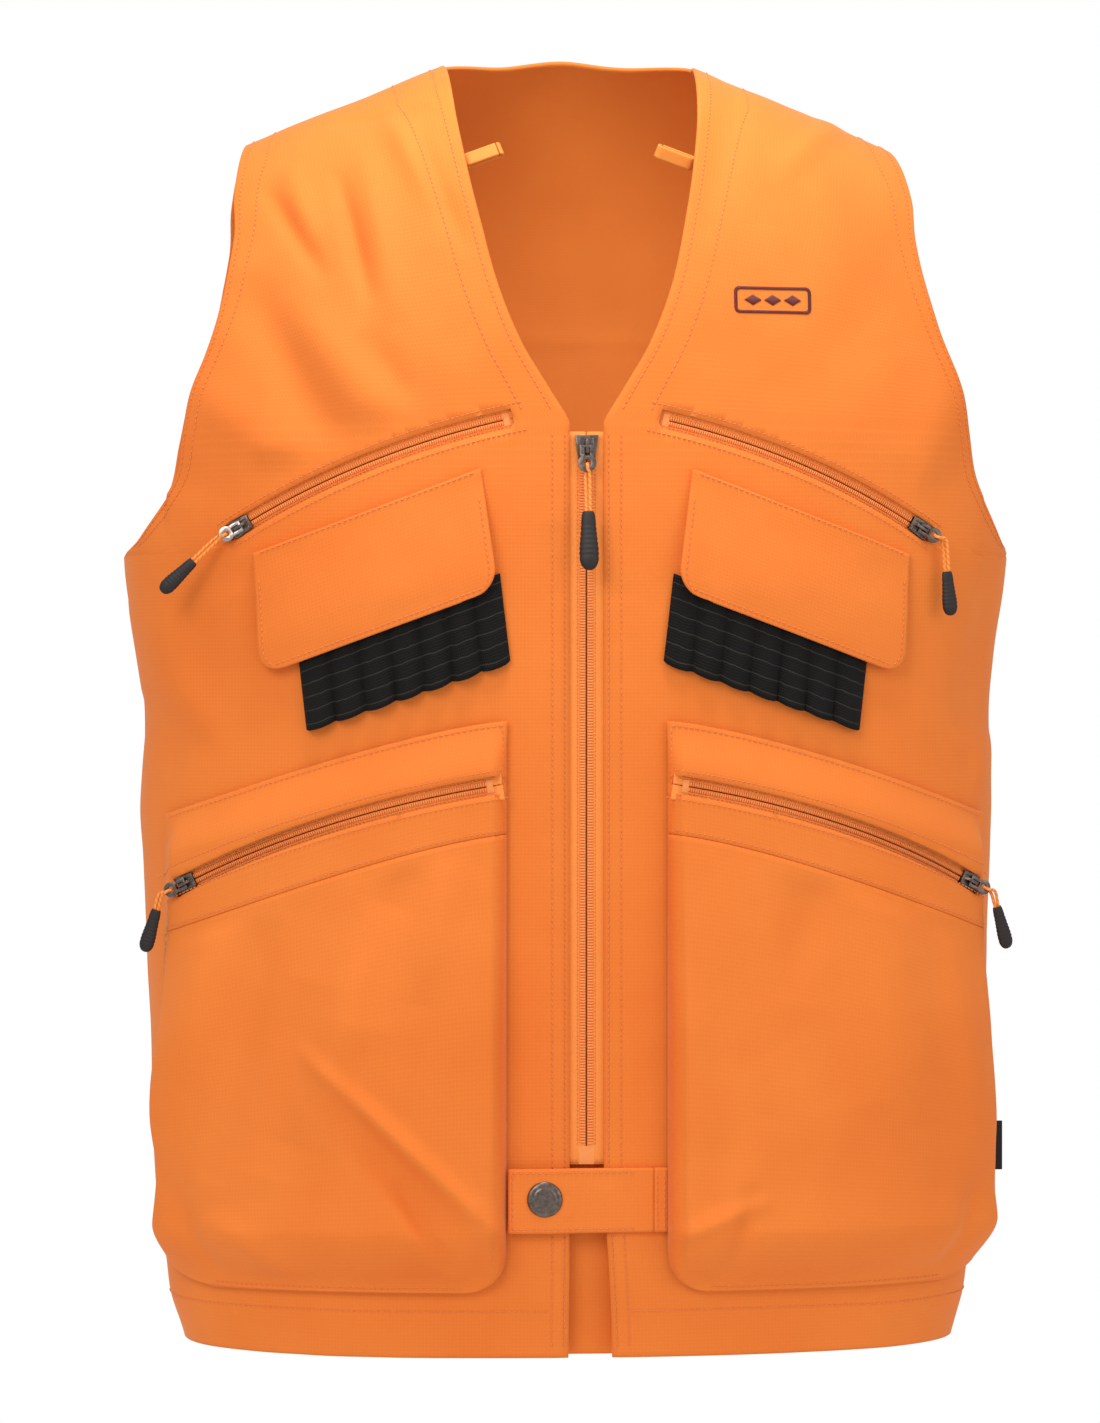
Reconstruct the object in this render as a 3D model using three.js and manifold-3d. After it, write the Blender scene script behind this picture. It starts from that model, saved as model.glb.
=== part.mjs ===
// A hunter's field vest, worn shape: cloth panels, bellows pockets, cartridge loops and five zips.
// Millimetres. +X is the wearer's left, -Y the front, +Z up. Heights are measured up from the hem
// and the whole vest is hung so that its origin lies between the shoulder seams at the neck.
import * as THREE from 'three';
import { mergeVertices } from 'three/addons/utils/BufferGeometryUtils.js';
import Module from 'manifold-3d';

const wasm = await Module();
wasm.setup();

// ---- driving sizes ----
const clothThick = 2;          // shell cloth with its lining
const layGap = 0.8;            // between two layers of curved cloth
const seamGap = 0.3;           // between two edges sewn together, each side of the seam line
const halfDepth = 130;         // front or back of the body from the side seams
const roundness = 2.5;         // of the body's section: 2 is an ellipse
const chestHeight = 490;       // the shoulders begin to curve here
const ridgeRun = 240;          // cloth from the chest line to the shoulder seam
const ridgeApex = 727.9;       // the shoulder line's height carried to the middle
const ridgeFall = 0.173;
const ridgePower = 1.15;
const underarmHeight = 432;
const underarmHalf = 246;
const waistHeight = 350;
const waistHalf = 235.5;
const hemHalf = 214;
const neckHalf = 70;
const neckHeight = 705;        // shoulder seam at the neck: the vest hangs from here
const tipHalf = 178;           // shoulder seam at the armhole
const neckBottom = 498;        // lowest point of the V neck
const backNeckDrop = 48;
const frontEdge = 9.5;         // cloth edge beside the main zip
const hemSpread = 5;           // how far the left front swings away under the zip

const zipBottom = 104;
const mainPullHeight = 488;

const tabThick = 1.4;
const pullGap = 0.5;
const cordRadius = 0.9;
const gripFlatness = 0.6;      // of a moulded pull: its thickness for its width

// ---- small helpers ----
const vec = (x, y, z) => new THREE.Vector3(x, y, z);
const deg = THREE.MathUtils.degToRad;
const clamp01 = (t) => Math.min(1, Math.max(0, t));
const ease = (t) => clamp01(t) * clamp01(t) * (3 - 2 * clamp01(t));
const mix = (a, b, t) => a + (b - a) * t;

// A smooth line through [position, value] pairs.
function through(points, at) {
  const last = points.length - 1;
  if (at <= points[0][0]) return points[0][1];
  if (at >= points[last][0]) return points[last][1];
  let k = 0;
  while (at > points[k + 1][0]) k += 1;
  const slope = (a, b) => (points[b][1] - points[a][1]) / (points[b][0] - points[a][0]);
  const before = slope(Math.max(0, k - 1), k + 1);
  const after = slope(k, Math.min(last, k + 2));
  const span = points[k + 1][0] - points[k][0];
  const t = (at - points[k][0]) / span;
  const bend = t * (1 - t) * span * ((1 - t) * (before - slope(k, k + 1)) - t * (after - slope(k, k + 1)));
  return mix(points[k][1], points[k + 1][1], t) + bend;
}

// ---- the body surface ----
const power = 2 / roundness;
const ridgeHeight = (x) => ridgeApex - ridgeFall * Math.abs(x) ** ridgePower;
const topRun = chestHeight + ridgeRun;
const halfWidth = (run) => through([
  [0, hemHalf], [30, 222], [130, 229], [290, 237], [waistHeight, waistHalf],
  [underarmHeight, underarmHalf], [560, 240], [topRun, 232],
], run);

// turn: 0 at the front, a quarter turn at the left side; run: along the cloth up from the hem.
function surface(turn, run) {
  const s = Math.sin(turn);
  const c = Math.cos(turn);
  const x = halfWidth(run) * Math.sign(s) * Math.abs(s) ** power;
  const lean = Math.max(0, run - chestHeight) / ridgeRun * Math.PI / 2;
  const hemTuck = 6 * (1 - ease(run / 60));
  const y = -(halfDepth - hemTuck) * Math.sign(c) * Math.abs(c) ** power * Math.cos(lean);
  const z = lean > 0 ? mix(chestHeight, ridgeHeight(x), Math.sin(lean)) : run;
  return vec(x, y, z);
}

function onBody(turn, run, out = 0) {
  const step = 0.002;
  const along = surface(turn + step, run).sub(surface(turn - step, run));
  const up = surface(turn, run + 0.5).sub(surface(turn, run - 0.5));
  return surface(turn, run).addScaledVector(along.cross(up).normalize(), out);
}

const turnAt = (x, run) => {
  const share = Math.min(1, Math.abs(x) / halfWidth(run));
  return Math.sign(x) * Math.asin(share ** (1 / power));
};
const runAt = (x, z) => {
  if (z <= chestHeight) return z;
  const share = Math.min(1, (z - chestHeight) / (ridgeHeight(x) - chestHeight));
  return chestHeight + ridgeRun * Math.asin(share) * 2 / Math.PI;
};
// A point of the front at x and z, moved out along the cloth's normal.
const onFront = (x, z, out = 0) => onBody(turnAt(x, runAt(x, z)), runAt(x, z), out);

// Between two x places of one height, spaced evenly round the body.
const xBetween = (x0, x1, run, u) => surface(mix(turnAt(x0, run), turnAt(x1, run), u), run).x;

// ---- solids ----
function outwardFaces(geometry) {
  const p = geometry.attributes.position;
  const index = geometry.index.array;
  const corner = (k) => vec(p.getX(index[k]), p.getY(index[k]), p.getZ(index[k]));
  let volume = 0;
  for (let k = 0; k < index.length; k += 3) {
    volume += corner(k).dot(corner(k + 1).cross(corner(k + 2)));
  }
  if (volume < 0) {
    for (let k = 0; k < index.length; k += 3) {
      [index[k], index[k + 1]] = [index[k + 1], index[k]];
    }
  }
  geometry.computeVertexNormals();
  return geometry;
}

// A closed sheet between two faces, each given over u and v from 0 to 1.
function closedSheet(columns, rows, outer, inner) {
  const place = [];
  for (const face of [outer, inner]) {
    for (let j = 0; j <= rows; j += 1) {
      for (let i = 0; i <= columns; i += 1) {
        place.push(...face(i / columns, j / rows).toArray());
      }
    }
  }
  const layer = (columns + 1) * (rows + 1);
  const at = (face, i, j) => face * layer + j * (columns + 1) + i;
  const index = [];
  const quad = (a, b, c, d) => index.push(a, b, c, a, c, d);
  for (let j = 0; j < rows; j += 1) {
    for (let i = 0; i < columns; i += 1) {
      quad(at(0, i, j), at(0, i + 1, j), at(0, i + 1, j + 1), at(0, i, j + 1));
      quad(at(1, i, j), at(1, i, j + 1), at(1, i + 1, j + 1), at(1, i + 1, j));
    }
  }
  for (let i = 0; i < columns; i += 1) {
    quad(at(0, i, 0), at(1, i, 0), at(1, i + 1, 0), at(0, i + 1, 0));
    quad(at(0, i, rows), at(0, i + 1, rows), at(1, i + 1, rows), at(1, i, rows));
  }
  for (let j = 0; j < rows; j += 1) {
    quad(at(0, 0, j), at(0, 0, j + 1), at(1, 0, j + 1), at(1, 0, j));
    quad(at(0, columns, j), at(1, columns, j), at(1, columns, j + 1), at(0, columns, j + 1));
  }
  const geometry = new THREE.BufferGeometry();
  geometry.setAttribute('position', new THREE.Float32BufferAttribute(place, 3));
  geometry.setIndex(index);
  return outwardFaces(geometry);
}

function solidOf(geometry) {
  const bare = geometry.clone();
  bare.deleteAttribute('normal');
  bare.deleteAttribute('uv');
  const merged = outwardFaces(mergeVertices(bare, 1e-4));
  return new wasm.Manifold(new wasm.Mesh({
    numProp: 3,
    vertProperties: new Float32Array(merged.attributes.position.array),
    triVerts: new Uint32Array(merged.index.array),
  }));
}

function geometryOf(solid) {
  const mesh = solid.getMesh();
  const geometry = new THREE.BufferGeometry();
  geometry.setAttribute('position', new THREE.BufferAttribute(new Float32Array(mesh.vertProperties), 3));
  geometry.setIndex([...mesh.triVerts]);
  geometry.computeVertexNormals();
  return geometry;
}

const joined = (...pieces) => geometryOf(pieces.map(solidOf).reduce((a, b) => a.add(b)));
const cut = (piece, ...tools) => geometryOf(
  tools.map(solidOf).reduce((a, b) => a.subtract(b), solidOf(piece)),
);

const flatPoints = (points) => points.map(([x, y]) => new THREE.Vector2(x, y));

// A flat plate from an outline in x and y, between two heights.
function plate(outline, low, high) {
  const shape = outline instanceof THREE.Shape ? outline : new THREE.Shape(flatPoints(outline));
  const options = { depth: high - low, bevelEnabled: false, curveSegments: 5 };
  return new THREE.ExtrudeGeometry(shape, options).translate(0, 0, low);
}

function block(x0, x1, y0, y1, z0, z1) {
  return new THREE.BoxGeometry(x1 - x0, y1 - y0, z1 - z0)
    .translate((x0 + x1) / 2, (y0 + y1) / 2, (z0 + z1) / 2);
}

function disc(radius, low, high, sides = 20) {
  return new THREE.CylinderGeometry(radius, radius, high - low, sides)
    .rotateX(Math.PI / 2).translate(0, 0, (low + high) / 2);
}

// ---- the assembly ----
const vest = new THREE.Group();
vest.position.z = -neckHeight;

const looks = {
  cloth: { color: 0xf27f36, roughness: 0.85 },
  lining: { color: 0xd9722c, roughness: 0.9 },
  elastic: { color: 0x1b1814, roughness: 0.8 },
  tape: { color: 0xf08238, roughness: 0.9 },
  coil: { color: 0xe9782f, roughness: 0.5 },
  metal: { color: 0x6e625a, roughness: 0.35, metalness: 0.9 },
  silver: { color: 0xb3aaa2, roughness: 0.3, metalness: 0.9 },
  cord: { color: 0xfb9a3a, roughness: 0.7 },
  rubber: { color: 0x33231f, roughness: 0.7 },
  label: { color: 0x1a1716, roughness: 0.8 },
  thread: { color: 0x6d1608, roughness: 0.8 },
};

function add(name, geometry, look, parent = vest) {
  const mesh = new THREE.Mesh(geometry, new THREE.MeshStandardMaterial(looks[look]));
  mesh.name = name;
  parent.add(mesh);
  return mesh;
}

// ---- zips: a track places things along s (0 to 1), across w and out of the cloth d ----
function arcTrack(first, middle, last, outward) {
  const a = middle.clone().sub(first);
  const b = last.clone().sub(first);
  const axis = a.clone().cross(b).normalize();
  const normal = a.clone().cross(b);
  const toCentre = b.clone().cross(normal).multiplyScalar(a.lengthSq())
    .add(normal.clone().cross(a).multiplyScalar(b.lengthSq()))
    .multiplyScalar(1 / (2 * normal.lengthSq()));
  const centre = first.clone().add(toCentre);
  const radius = centre.distanceTo(first);
  const e1 = first.clone().sub(centre).normalize();
  const e2 = axis.clone().cross(e1);
  const angleOf = (p) => Math.atan2(p.clone().sub(centre).dot(e2), p.clone().sub(centre).dot(e1));
  const sweep = angleOf(last);
  const radial = (s) => e1.clone().multiplyScalar(Math.cos(s * sweep))
    .addScaledVector(e2, Math.sin(s * sweep));
  const middleRadial = radial(angleOf(middle) / sweep);
  const out = new THREE.Vector2(outward.dot(middleRadial), outward.dot(axis)).normalize();
  const frame = (s) => {
    const r = radial(s);
    const along = axis.clone().cross(r).multiplyScalar(Math.sign(sweep));
    const d = r.clone().multiplyScalar(out.x).addScaledVector(axis, out.y);
    return { origin: centre.clone().addScaledVector(r, radius), along, across: d.clone().cross(along), d };
  };
  return { frame, centre, axis, sweep, length: Math.abs(sweep) * radius };
}

function straightTrack(first, last, outward) {
  const along = last.clone().sub(first).normalize();
  const frame = (s) => ({
    origin: first.clone().lerp(last, s), along, across: outward.clone().cross(along), d: outward,
  });
  return { frame, length: first.distanceTo(last) };
}

function onTrack(track, s, w, d) {
  const f = track.frame(s);
  return f.origin.clone().addScaledVector(f.across, w).addScaledVector(f.d, d);
}

const trackStrip = (track, steps, s0, s1, w0, w1, d0, d1) => closedSheet(
  steps, 1,
  (u, v) => onTrack(track, mix(s0, s1, u), mix(w0, w1, v), d1),
  (u, v) => onTrack(track, mix(s0, s1, u), mix(w0, w1, v), d0),
);

// Tape and coil dimensions of the two zip weights; depths are below the cloth's outer face.
const mainZip = {
  chainGap: 1.1, coilWidth: 3, coilTop: -2.4, coilLow: -5.6, tapeEdge: 17, tapeTop: -3.6, tapeLow: -4.4,
  window: frontEdge, plateTop: 0.2, plateLow: -1, footTop: -6.4, footLow: -7.4,
  mouth: 6.3, tail: 4.6, halfLength: 6.2, web: 0.5, lean: deg(13), mouthSide: -1,
  tabLength: 14, tabHalf: 5.4, waist: 2.9, eye: 3.2, gripLength: 32, gripRadius: 5.4, cordRun: 22,
};
const pocketZip = {
  chainGap: 0.9, coilWidth: 2.2, coilTop: -2.7, coilLow: -4.9, tapeEdge: 8, tapeTop: -3.6, tapeLow: -4.2,
  window: 5.4, plateTop: 0.4, plateLow: -0.7, footTop: -5.4, footLow: -6.2,
  mouth: 4.9, tail: 3.7, halfLength: 5.6, web: 0.45, lean: deg(16), mouthSide: 1,
  tabLength: 12.5, tabHalf: 4.3, waist: 2.6, eye: 2.6, gripLength: 24, gripRadius: 4.3,
};
const bridgeHalf = 0.8;
const bridgeReach = 4.3;
const barHeight = (zip) => zip.plateTop + pullGap + tabThick / 2;

// Half a tape: the woven strip, with the coil's bead on its edge if the zip keeps it there.
function tapeHalf(track, zip, side, steps, s0, s1, withCoil) {
  const inner = withCoil ? zip.chainGap : zip.chainGap + zip.coilWidth + seamGap;
  const beadEdge = zip.chainGap + zip.coilWidth;
  const across = [inner, ...(withCoil ? [beadEdge, beadEdge + 0.2] : [inner + 4, inner + 8]), zip.tapeEdge];
  const beadTop = withCoil ? zip.coilTop : zip.tapeTop;
  const beadLow = withCoil ? zip.coilLow : zip.tapeLow;
  const top = [beadTop, beadTop, zip.tapeTop, zip.tapeTop];
  const low = [beadLow, beadLow, zip.tapeLow, zip.tapeLow];
  const face = (depth) => (u, v) => {
    const k = Math.round(v * 3);
    return onTrack(track, mix(s0, s1, u), side * across[k], depth[k]);
  };
  return closedSheet(steps, 3, face(top), face(low));
}

// The slider in its own frame: x along the zip, y across, z out of the cloth.
function sliderSolid(zip) {
  const end = zip.mouthSide * zip.halfLength;
  const shoulder = zip.mouth * 0.86;
  const outline = [
    [-end, -zip.tail], [end * 0.2, -shoulder], [end, -zip.mouth],
    [end, zip.mouth], [end * 0.2, shoulder], [-end, zip.tail],
  ];
  const barTop = barHeight(zip) + tabThick / 2 + pullGap - zip.plateTop;
  const bridge = plate([
    [-bridgeReach, -0.1], [-bridgeReach, barTop], [-bridgeReach + 1, barTop + 1],
    [bridgeReach - 1, barTop + 1], [bridgeReach, barTop], [bridgeReach, -0.1],
    [bridgeReach - 1, -0.1], [bridgeReach - 1, barTop], [-bridgeReach + 1, barTop], [-bridgeReach + 1, -0.1],
  ], -bridgeHalf, bridgeHalf).rotateX(Math.PI / 2).translate(0, 0, zip.plateTop);
  const webEnd = zip.halfLength - 0.4;
  return joined(
    plate(outline, zip.plateLow, zip.plateTop),
    plate(outline, zip.footLow, zip.footTop),
    block(-webEnd, webEnd, -zip.web, zip.web, zip.footTop - 0.2, zip.plateLow + 0.2),
    bridge,
  );
}

// The tab in the pull's frame: x along it from the bar that passes under the slider's bridge.
function tabSolid(zip) {
  const end = zip.tabLength;
  const eyeRadius = zip.tabHalf - zip.eye + 1.1 + zip.eye / 2;
  const eyeAt = end - eyeRadius;
  const holeRadius = zip.eye / 2 + 0.4;
  const neck = bridgeReach + 2.4;
  const shoulder = zip.tabHalf * 0.72;
  const slotHalf = bridgeHalf + 0.7;
  const slotEnd = bridgeReach + 0.9;
  const outline = new THREE.Shape();
  outline.moveTo(-tabThick / 2, -shoulder);
  outline.lineTo(bridgeReach, -shoulder);
  outline.lineTo(neck, -zip.waist);
  outline.absarc(eyeAt, 0, eyeRadius, -Math.PI * 0.72, Math.PI * 0.72, false);
  outline.lineTo(neck, zip.waist);
  outline.lineTo(bridgeReach, shoulder);
  outline.lineTo(-tabThick / 2, shoulder);
  const slot = new THREE.Path(flatPoints([
    [tabThick / 2, -slotHalf], [slotEnd, -slotHalf], [slotEnd, slotHalf], [tabThick / 2, slotHalf],
  ]));
  const eye = new THREE.Path().absarc(eyeAt, 0, holeRadius, 0, Math.PI * 2, true);
  outline.holes.push(slot, eye);
  const geometry = plate(outline, -tabThick / 2, tabThick / 2);
  return { geometry, eyeAt, rim: (eyeAt + holeRadius + end) / 2 };
}

// A looped cord: up from the grip, through the tab's eye and back down beside itself.
function cordAndGrip(zip, tab, droop, downSide) {
  const heading = vec(Math.cos(droop), downSide * Math.sin(droop), 0);
  const beside = vec(-heading.y, heading.x, 0);
  const bend = vec(zip.tabLength + 2.6, 0, 0);
  const gripTop = bend.clone().addScaledVector(heading, zip.cordRun - 2.6);
  const reach = tabThick / 2 + cordRadius + 0.55;
  const strand = (side) => [
    gripTop.clone().addScaledVector(beside, side * (cordRadius + 0.15)).addScaledVector(heading, -0.3),
    bend.clone().addScaledVector(beside, side * (cordRadius + 0.1)).addScaledVector(vec(0, 0, 1), side * 0.7),
    vec(tab.rim, 0, side * reach),
  ];
  const turning = vec(tab.eyeAt - 0.2, 0, 0);
  const path = new THREE.CatmullRomCurve3([...strand(1), turning, ...strand(-1).reverse()]);
  const circle = new THREE.Shape().absarc(0, 0, cordRadius, 0, Math.PI * 2, false);
  const options = { steps: 24, extrudePath: path, curveSegments: 4, bevelEnabled: false };
  const cord = new THREE.ExtrudeGeometry(circle, options);
  const r = zip.gripRadius;
  const l = zip.gripLength;
  const profile = [
    [0, 0], [0.6 * r, 0], [0.66 * r, 0.06 * l], [0.84 * r, 0.4 * l], [r, 0.7 * l], [0.9 * r, 0.86 * l],
    [0.6 * r, 0.96 * l], [0, l],
  ];
  const grip = new THREE.LatheGeometry(flatPoints(profile), 10);
  grip.scale(1, 1, gripFlatness).rotateZ(downSide * droop - Math.PI / 2);
  grip.translate(gripTop.x, gripTop.y, gripTop.z);
  return { cord, grip };
}

// Slider, tab, cord and grip standing at s on a track.
function hangPull(name, track, zip, s, droop, tabLook) {
  const f = track.frame(s);
  const downSide = f.across.z < 0 ? 1 : -1;
  const slider = add(`${name}_slider`, sliderSolid(zip), 'metal');
  const pull = new THREE.Group();
  const stand = new THREE.Matrix4().makeBasis(f.along, f.across, f.d).setPosition(f.origin);
  slider.applyMatrix4(stand);
  pull.applyMatrix4(stand.clone().multiply(new THREE.Matrix4().makeTranslation(0, 0, barHeight(zip)))
    .multiply(new THREE.Matrix4().makeRotationY(-zip.lean)));
  vest.add(pull);
  const tab = tabSolid(zip);
  const { cord, grip } = cordAndGrip(zip, tab, droop, downSide);
  add(`${name}_tab`, tab.geometry, tabLook, pull);
  add(`${name}_cord`, cord, 'cord', pull);
  add(`${name}_grip`, grip, 'rubber', pull);
}

// ---- chest zips: in the front panels, falling outward ----
const zipSides = { left: 1, right: -1 };
const chestZip = { inner: [41, 503], middle: [112, 481.5], outer: [184, 446] };
const lowerZip = { inner: [50, 307], middle: [132, 287], outer: [206, 254] };
const stopRoom = 4;            // zip line kept for the stop at its inner end

// ---- lower pockets: where they lie and how far they stand off the front ----
const pocket = {
  gap: 1.7, inner: 43, outer: 222, bottom: 36, topInner: 341, topOuter: 290, seamInner: 281, seamOuter: 224,
  zipLift: 8.4, zipEase: 26, bagLift: 16, bagStart: 45, bagEase: 130,
  cornerRadius: 22, footTaper: 3, hemEase: 46, innerEase: 7, outerEase: 10,
};
const pocketShare = (x) => clamp01((x - pocket.inner) / (pocket.outer - pocket.inner));
const pocketLine = (x, atInner, atOuter) => mix(atInner, atOuter, pocketShare(x) ** 1.35);
function pocketLift(x, z) {
  const below = pocketLine(x, pocket.topInner, pocket.topOuter) - z;
  const { zipLift, zipEase, bagLift, bagStart, bagEase } = pocket;
  const fall = below < zipEase
    ? zipLift * ease(below / zipEase)
    : mix(zipLift, bagLift, ease((below - bagStart) / bagEase));
  const edges = ease((x - pocket.inner) / pocket.innerEase) * ease((pocket.outer - x) / pocket.outerEase);
  return clothThick + pocket.gap + fall * edges * ease((z - pocket.bottom) / pocket.hemEase);
}

// Columns of a pocket's cloth: close together where its sides rise off the front, even between them.
const pocketColumns = (() => {
  const { inner, outer, innerEase, outerEase, seamInner } = pocket;
  const first = turnAt(inner, seamInner);
  const last = turnAt(outer, seamInner);
  const share = (x) => (turnAt(x, seamInner) - first) / (last - first);
  const from = share(inner + innerEase);
  const to = share(outer - outerEase);
  const even = [0, 1, 2, 3, 4, 5, 6, 7, 8].map((k) => mix(from, to, k / 8));
  return [0, from / 2, ...even, (to + 1) / 2, 1];
})();
const pocketColumn = (u) => pocketColumns[Math.round(u * (pocketColumns.length - 1))];

function pocketTrack(side, line, lift) {
  const at = ([x, z]) => onFront(side * x, z, lift(x, z));
  const [x, z] = line.middle;
  const outward = onFront(side * x, z, 1).sub(onFront(side * x, z, 0));
  return arcTrack(at(line.inner), at(line.middle), at(line.outer), outward);
}
const chestZipDepth = clothThick - 1.7;  // of its track under the front's outer face
const chestTrack = (side) => pocketTrack(side, chestZip, () => -chestZipDepth);
const lowerZipDepth = 1.6;       // of its track under the yoke's outer face
const lowerTrack = (side) => pocketTrack(
  side, lowerZip, () => clothThick + pocket.gap + pocket.zipLift - lowerZipDepth,
);
const windowReach = 20;          // how far the window's cutter goes through the cloth, each way
function windowCut(track, zip) {
  const start = -zip.window / track.length;
  const end = 1 + (zip.halfLength + 4) / track.length;
  return trackStrip(track, 14, start, end, -zip.window, zip.window, -windowReach, windowReach);
}

// ---- front and back panels ----
const neckShape = [
  [0, 0], [0.056, 0.2], [0.125, 0.42], [0.224, 0.62], [0.336, 0.752], [0.47, 0.868], [0.642, 0.95], [1, 1],
];
const armholeShape = [
  [0, 1], [0.027, 0.88], [0.131, 0.63], [0.22, 0.544], [0.295, 0.47], [0.42, 0.28], [0.577, 0.14],
  [0.7, 0.13], [1, 0],
];
const sideTurn = Math.PI / 2 - (seamGap / halfDepth) ** (1 / power);
const ridgeEnd = topRun - seamGap * 1.8;

function armholeTurn(run) {
  if (run <= underarmHeight) return sideTurn;
  const share = through(armholeShape, (run - underarmHeight) / (topRun - underarmHeight));
  return Math.min(sideTurn, turnAt(mix(tipHalf, underarmHalf, share), run));
}
function frontEdgeTurn(run, spread) {
  if (run <= neckBottom) return turnAt(frontEdge + spread * (1 - ease(run / zipBottom)), run);
  const share = through(neckShape, (run - neckBottom) / (topRun - neckBottom));
  return turnAt(mix(frontEdge, neckHalf, share), run);
}

// Rows are packed where an edge turns: at the V's foot and under the arm.
const frontRows = [
  0, 30, 70, 110, 170, 230, 290, 345, 395, underarmHeight, underarmHeight + 10, underarmHeight + 33,
  neckBottom, neckBottom + 14, neckBottom + 34, neckBottom + 62, neckBottom + 97,
  topRun - 90, topRun - 45, topRun - 15, ridgeEnd,
];
const frontRun = (v) => frontRows[Math.round(v * (frontRows.length - 1))];

function frontPanel(side) {
  const spread = side > 0 ? hemSpread : 0;
  const face = (out) => (u, v) => {
    const run = frontRun(v);
    return onBody(side * mix(frontEdgeTurn(run, spread), armholeTurn(run), u), run, out);
  };
  const sheet = closedSheet(11, frontRows.length - 1, face(0), face(-clothThick));
  return cut(sheet, windowCut(chestTrack(side), pocketZip));
}

function backPanel() {
  const neckColumns = 2;
  const halfColumns = 8;
  const neckTurn = turnAt(neckHalf, topRun) / armholeTurn(topRun);
  const share = (u) => {
    const s = Math.abs(2 * u - 1) * halfColumns;
    const beyond = (s - neckColumns) / (halfColumns - neckColumns);
    const a = s <= neckColumns ? neckTurn * s / neckColumns : mix(neckTurn, 1, beyond);
    return Math.sign(2 * u - 1) * a;
  };
  const face = (out) => (u, v) => {
    const s = share(u);
    const drop = backNeckDrop * Math.max(0, 1 - (s / neckTurn) ** 2);
    const run = frontRun(v) * (ridgeEnd - drop) / ridgeEnd;
    return onBody(Math.PI - s * armholeTurn(run), run, out);
  };
  return closedSheet(2 * halfColumns, frontRows.length - 1, face(0), face(-clothThick));
}

add('back_panel', backPanel(), 'cloth');
for (const [name, side] of Object.entries(zipSides)) {
  add(`${name}_front_panel`, frontPanel(side), 'cloth');
}

// ---- main zip and the underlay behind it ----
const mainTop = neckBottom - 2;
const mainLine = straightTrack(vec(0, -halfDepth, mainTop), vec(0, -halfDepth, zipBottom), vec(0, -1, 0));
const mainShare = (height) => (mainTop - height) / (mainTop - zipBottom);
for (const [name, side] of Object.entries(zipSides)) {
  const across = side * Math.sign(mainLine.frame(0).across.x);
  const inner = mainZip.chainGap;
  add(`main_zip_tape_${name}`, tapeHalf(mainLine, mainZip, across, 2, 0, 1, false), 'tape');
  add(`main_zip_coil_${name}`, trackStrip(mainLine, 2, 0.005, mainShare(zipBottom + 10), across * inner,
    across * (inner + mainZip.coilWidth), mainZip.coilLow, mainZip.coilTop), 'coil');
}
const boxHalf = mainZip.chainGap + mainZip.coilWidth;
const boxEnd = mainShare(zipBottom + 10 - seamGap);
const zipBox = trackStrip(mainLine, 1, boxEnd, 1, -boxHalf, boxHalf, mainZip.coilLow, mainZip.coilTop);
add('main_zip_box', zipBox, 'metal');
hangPull('main_zip', mainLine, mainZip, mainShare(mainPullHeight), 0, 'metal');

const underlay = {
  sewn: -31, turn: -19.5, face: -12, free: 15, foot: 23, top: 494, low: 1, thick: 1.4,
  seamDepth: -clothThick - 1.2, turnDepth: -clothThick - 3, depth: mainZip.footLow - layGap,
};
function underlayFace(out) {
  const columns = [underlay.sewn, -23, underlay.turn, underlay.face, 0, underlay.free];
  const { seamDepth, turnDepth, depth } = underlay;
  const depths = [seamDepth, seamDepth, turnDepth, depth, depth, depth];
  return (u, v) => {
    const k = Math.round(u * (columns.length - 1));
    const z = mix(underlay.low, underlay.top, v);
    const x = k === columns.length - 1 ? mix(underlay.foot, underlay.free, ease(z / zipBottom)) : columns[k];
    return onFront(x, z, depths[k] + out);
  };
}
add('zip_underlay', closedSheet(5, 14, underlayFace(0), underlayFace(-underlay.thick)), 'cloth');

// ---- pocket zips ----
const stopHalf = 3.4;
const stopTop = pocketZip.coilTop + 0.6;
const chestCordRun = 19;
const lowerCordRun = 11;
function pocketZipParts(name, track, cordRun, droop, tabLook) {
  const open = stopRoom / track.length;
  const end = 1 + (pocketZip.halfLength + 2.5) / track.length;
  const top = Math.sign(track.frame(0.5).across.z);
  add(`${name}_tape_top`, tapeHalf(track, pocketZip, top, 10, open, end, true), 'tape');
  add(`${name}_tape_bottom`, tapeHalf(track, pocketZip, -top, 10, open, end, true), 'tape');
  const stopStart = 0.6 * seamGap / track.length;
  const stopEnd = open - seamGap / track.length;
  const stop = trackStrip(track, 1, stopStart, stopEnd, -stopHalf, stopHalf, pocketZip.coilLow, stopTop);
  add(`${name}_stop`, stop, 'tape');
  hangPull(name, track, { ...pocketZip, cordRun }, 1, droop, tabLook);
}
const droops = { left: deg(56), right: deg(14) };
for (const [name, side] of Object.entries(zipSides)) {
  const look = name === 'right' ? 'silver' : 'metal';
  pocketZipParts(`chest_zip_${name}`, chestTrack(side), chestCordRun, droops[name], look);
  pocketZipParts(`lower_zip_${name}`, lowerTrack(side), lowerCordRun, deg(48), 'metal');
}

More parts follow.
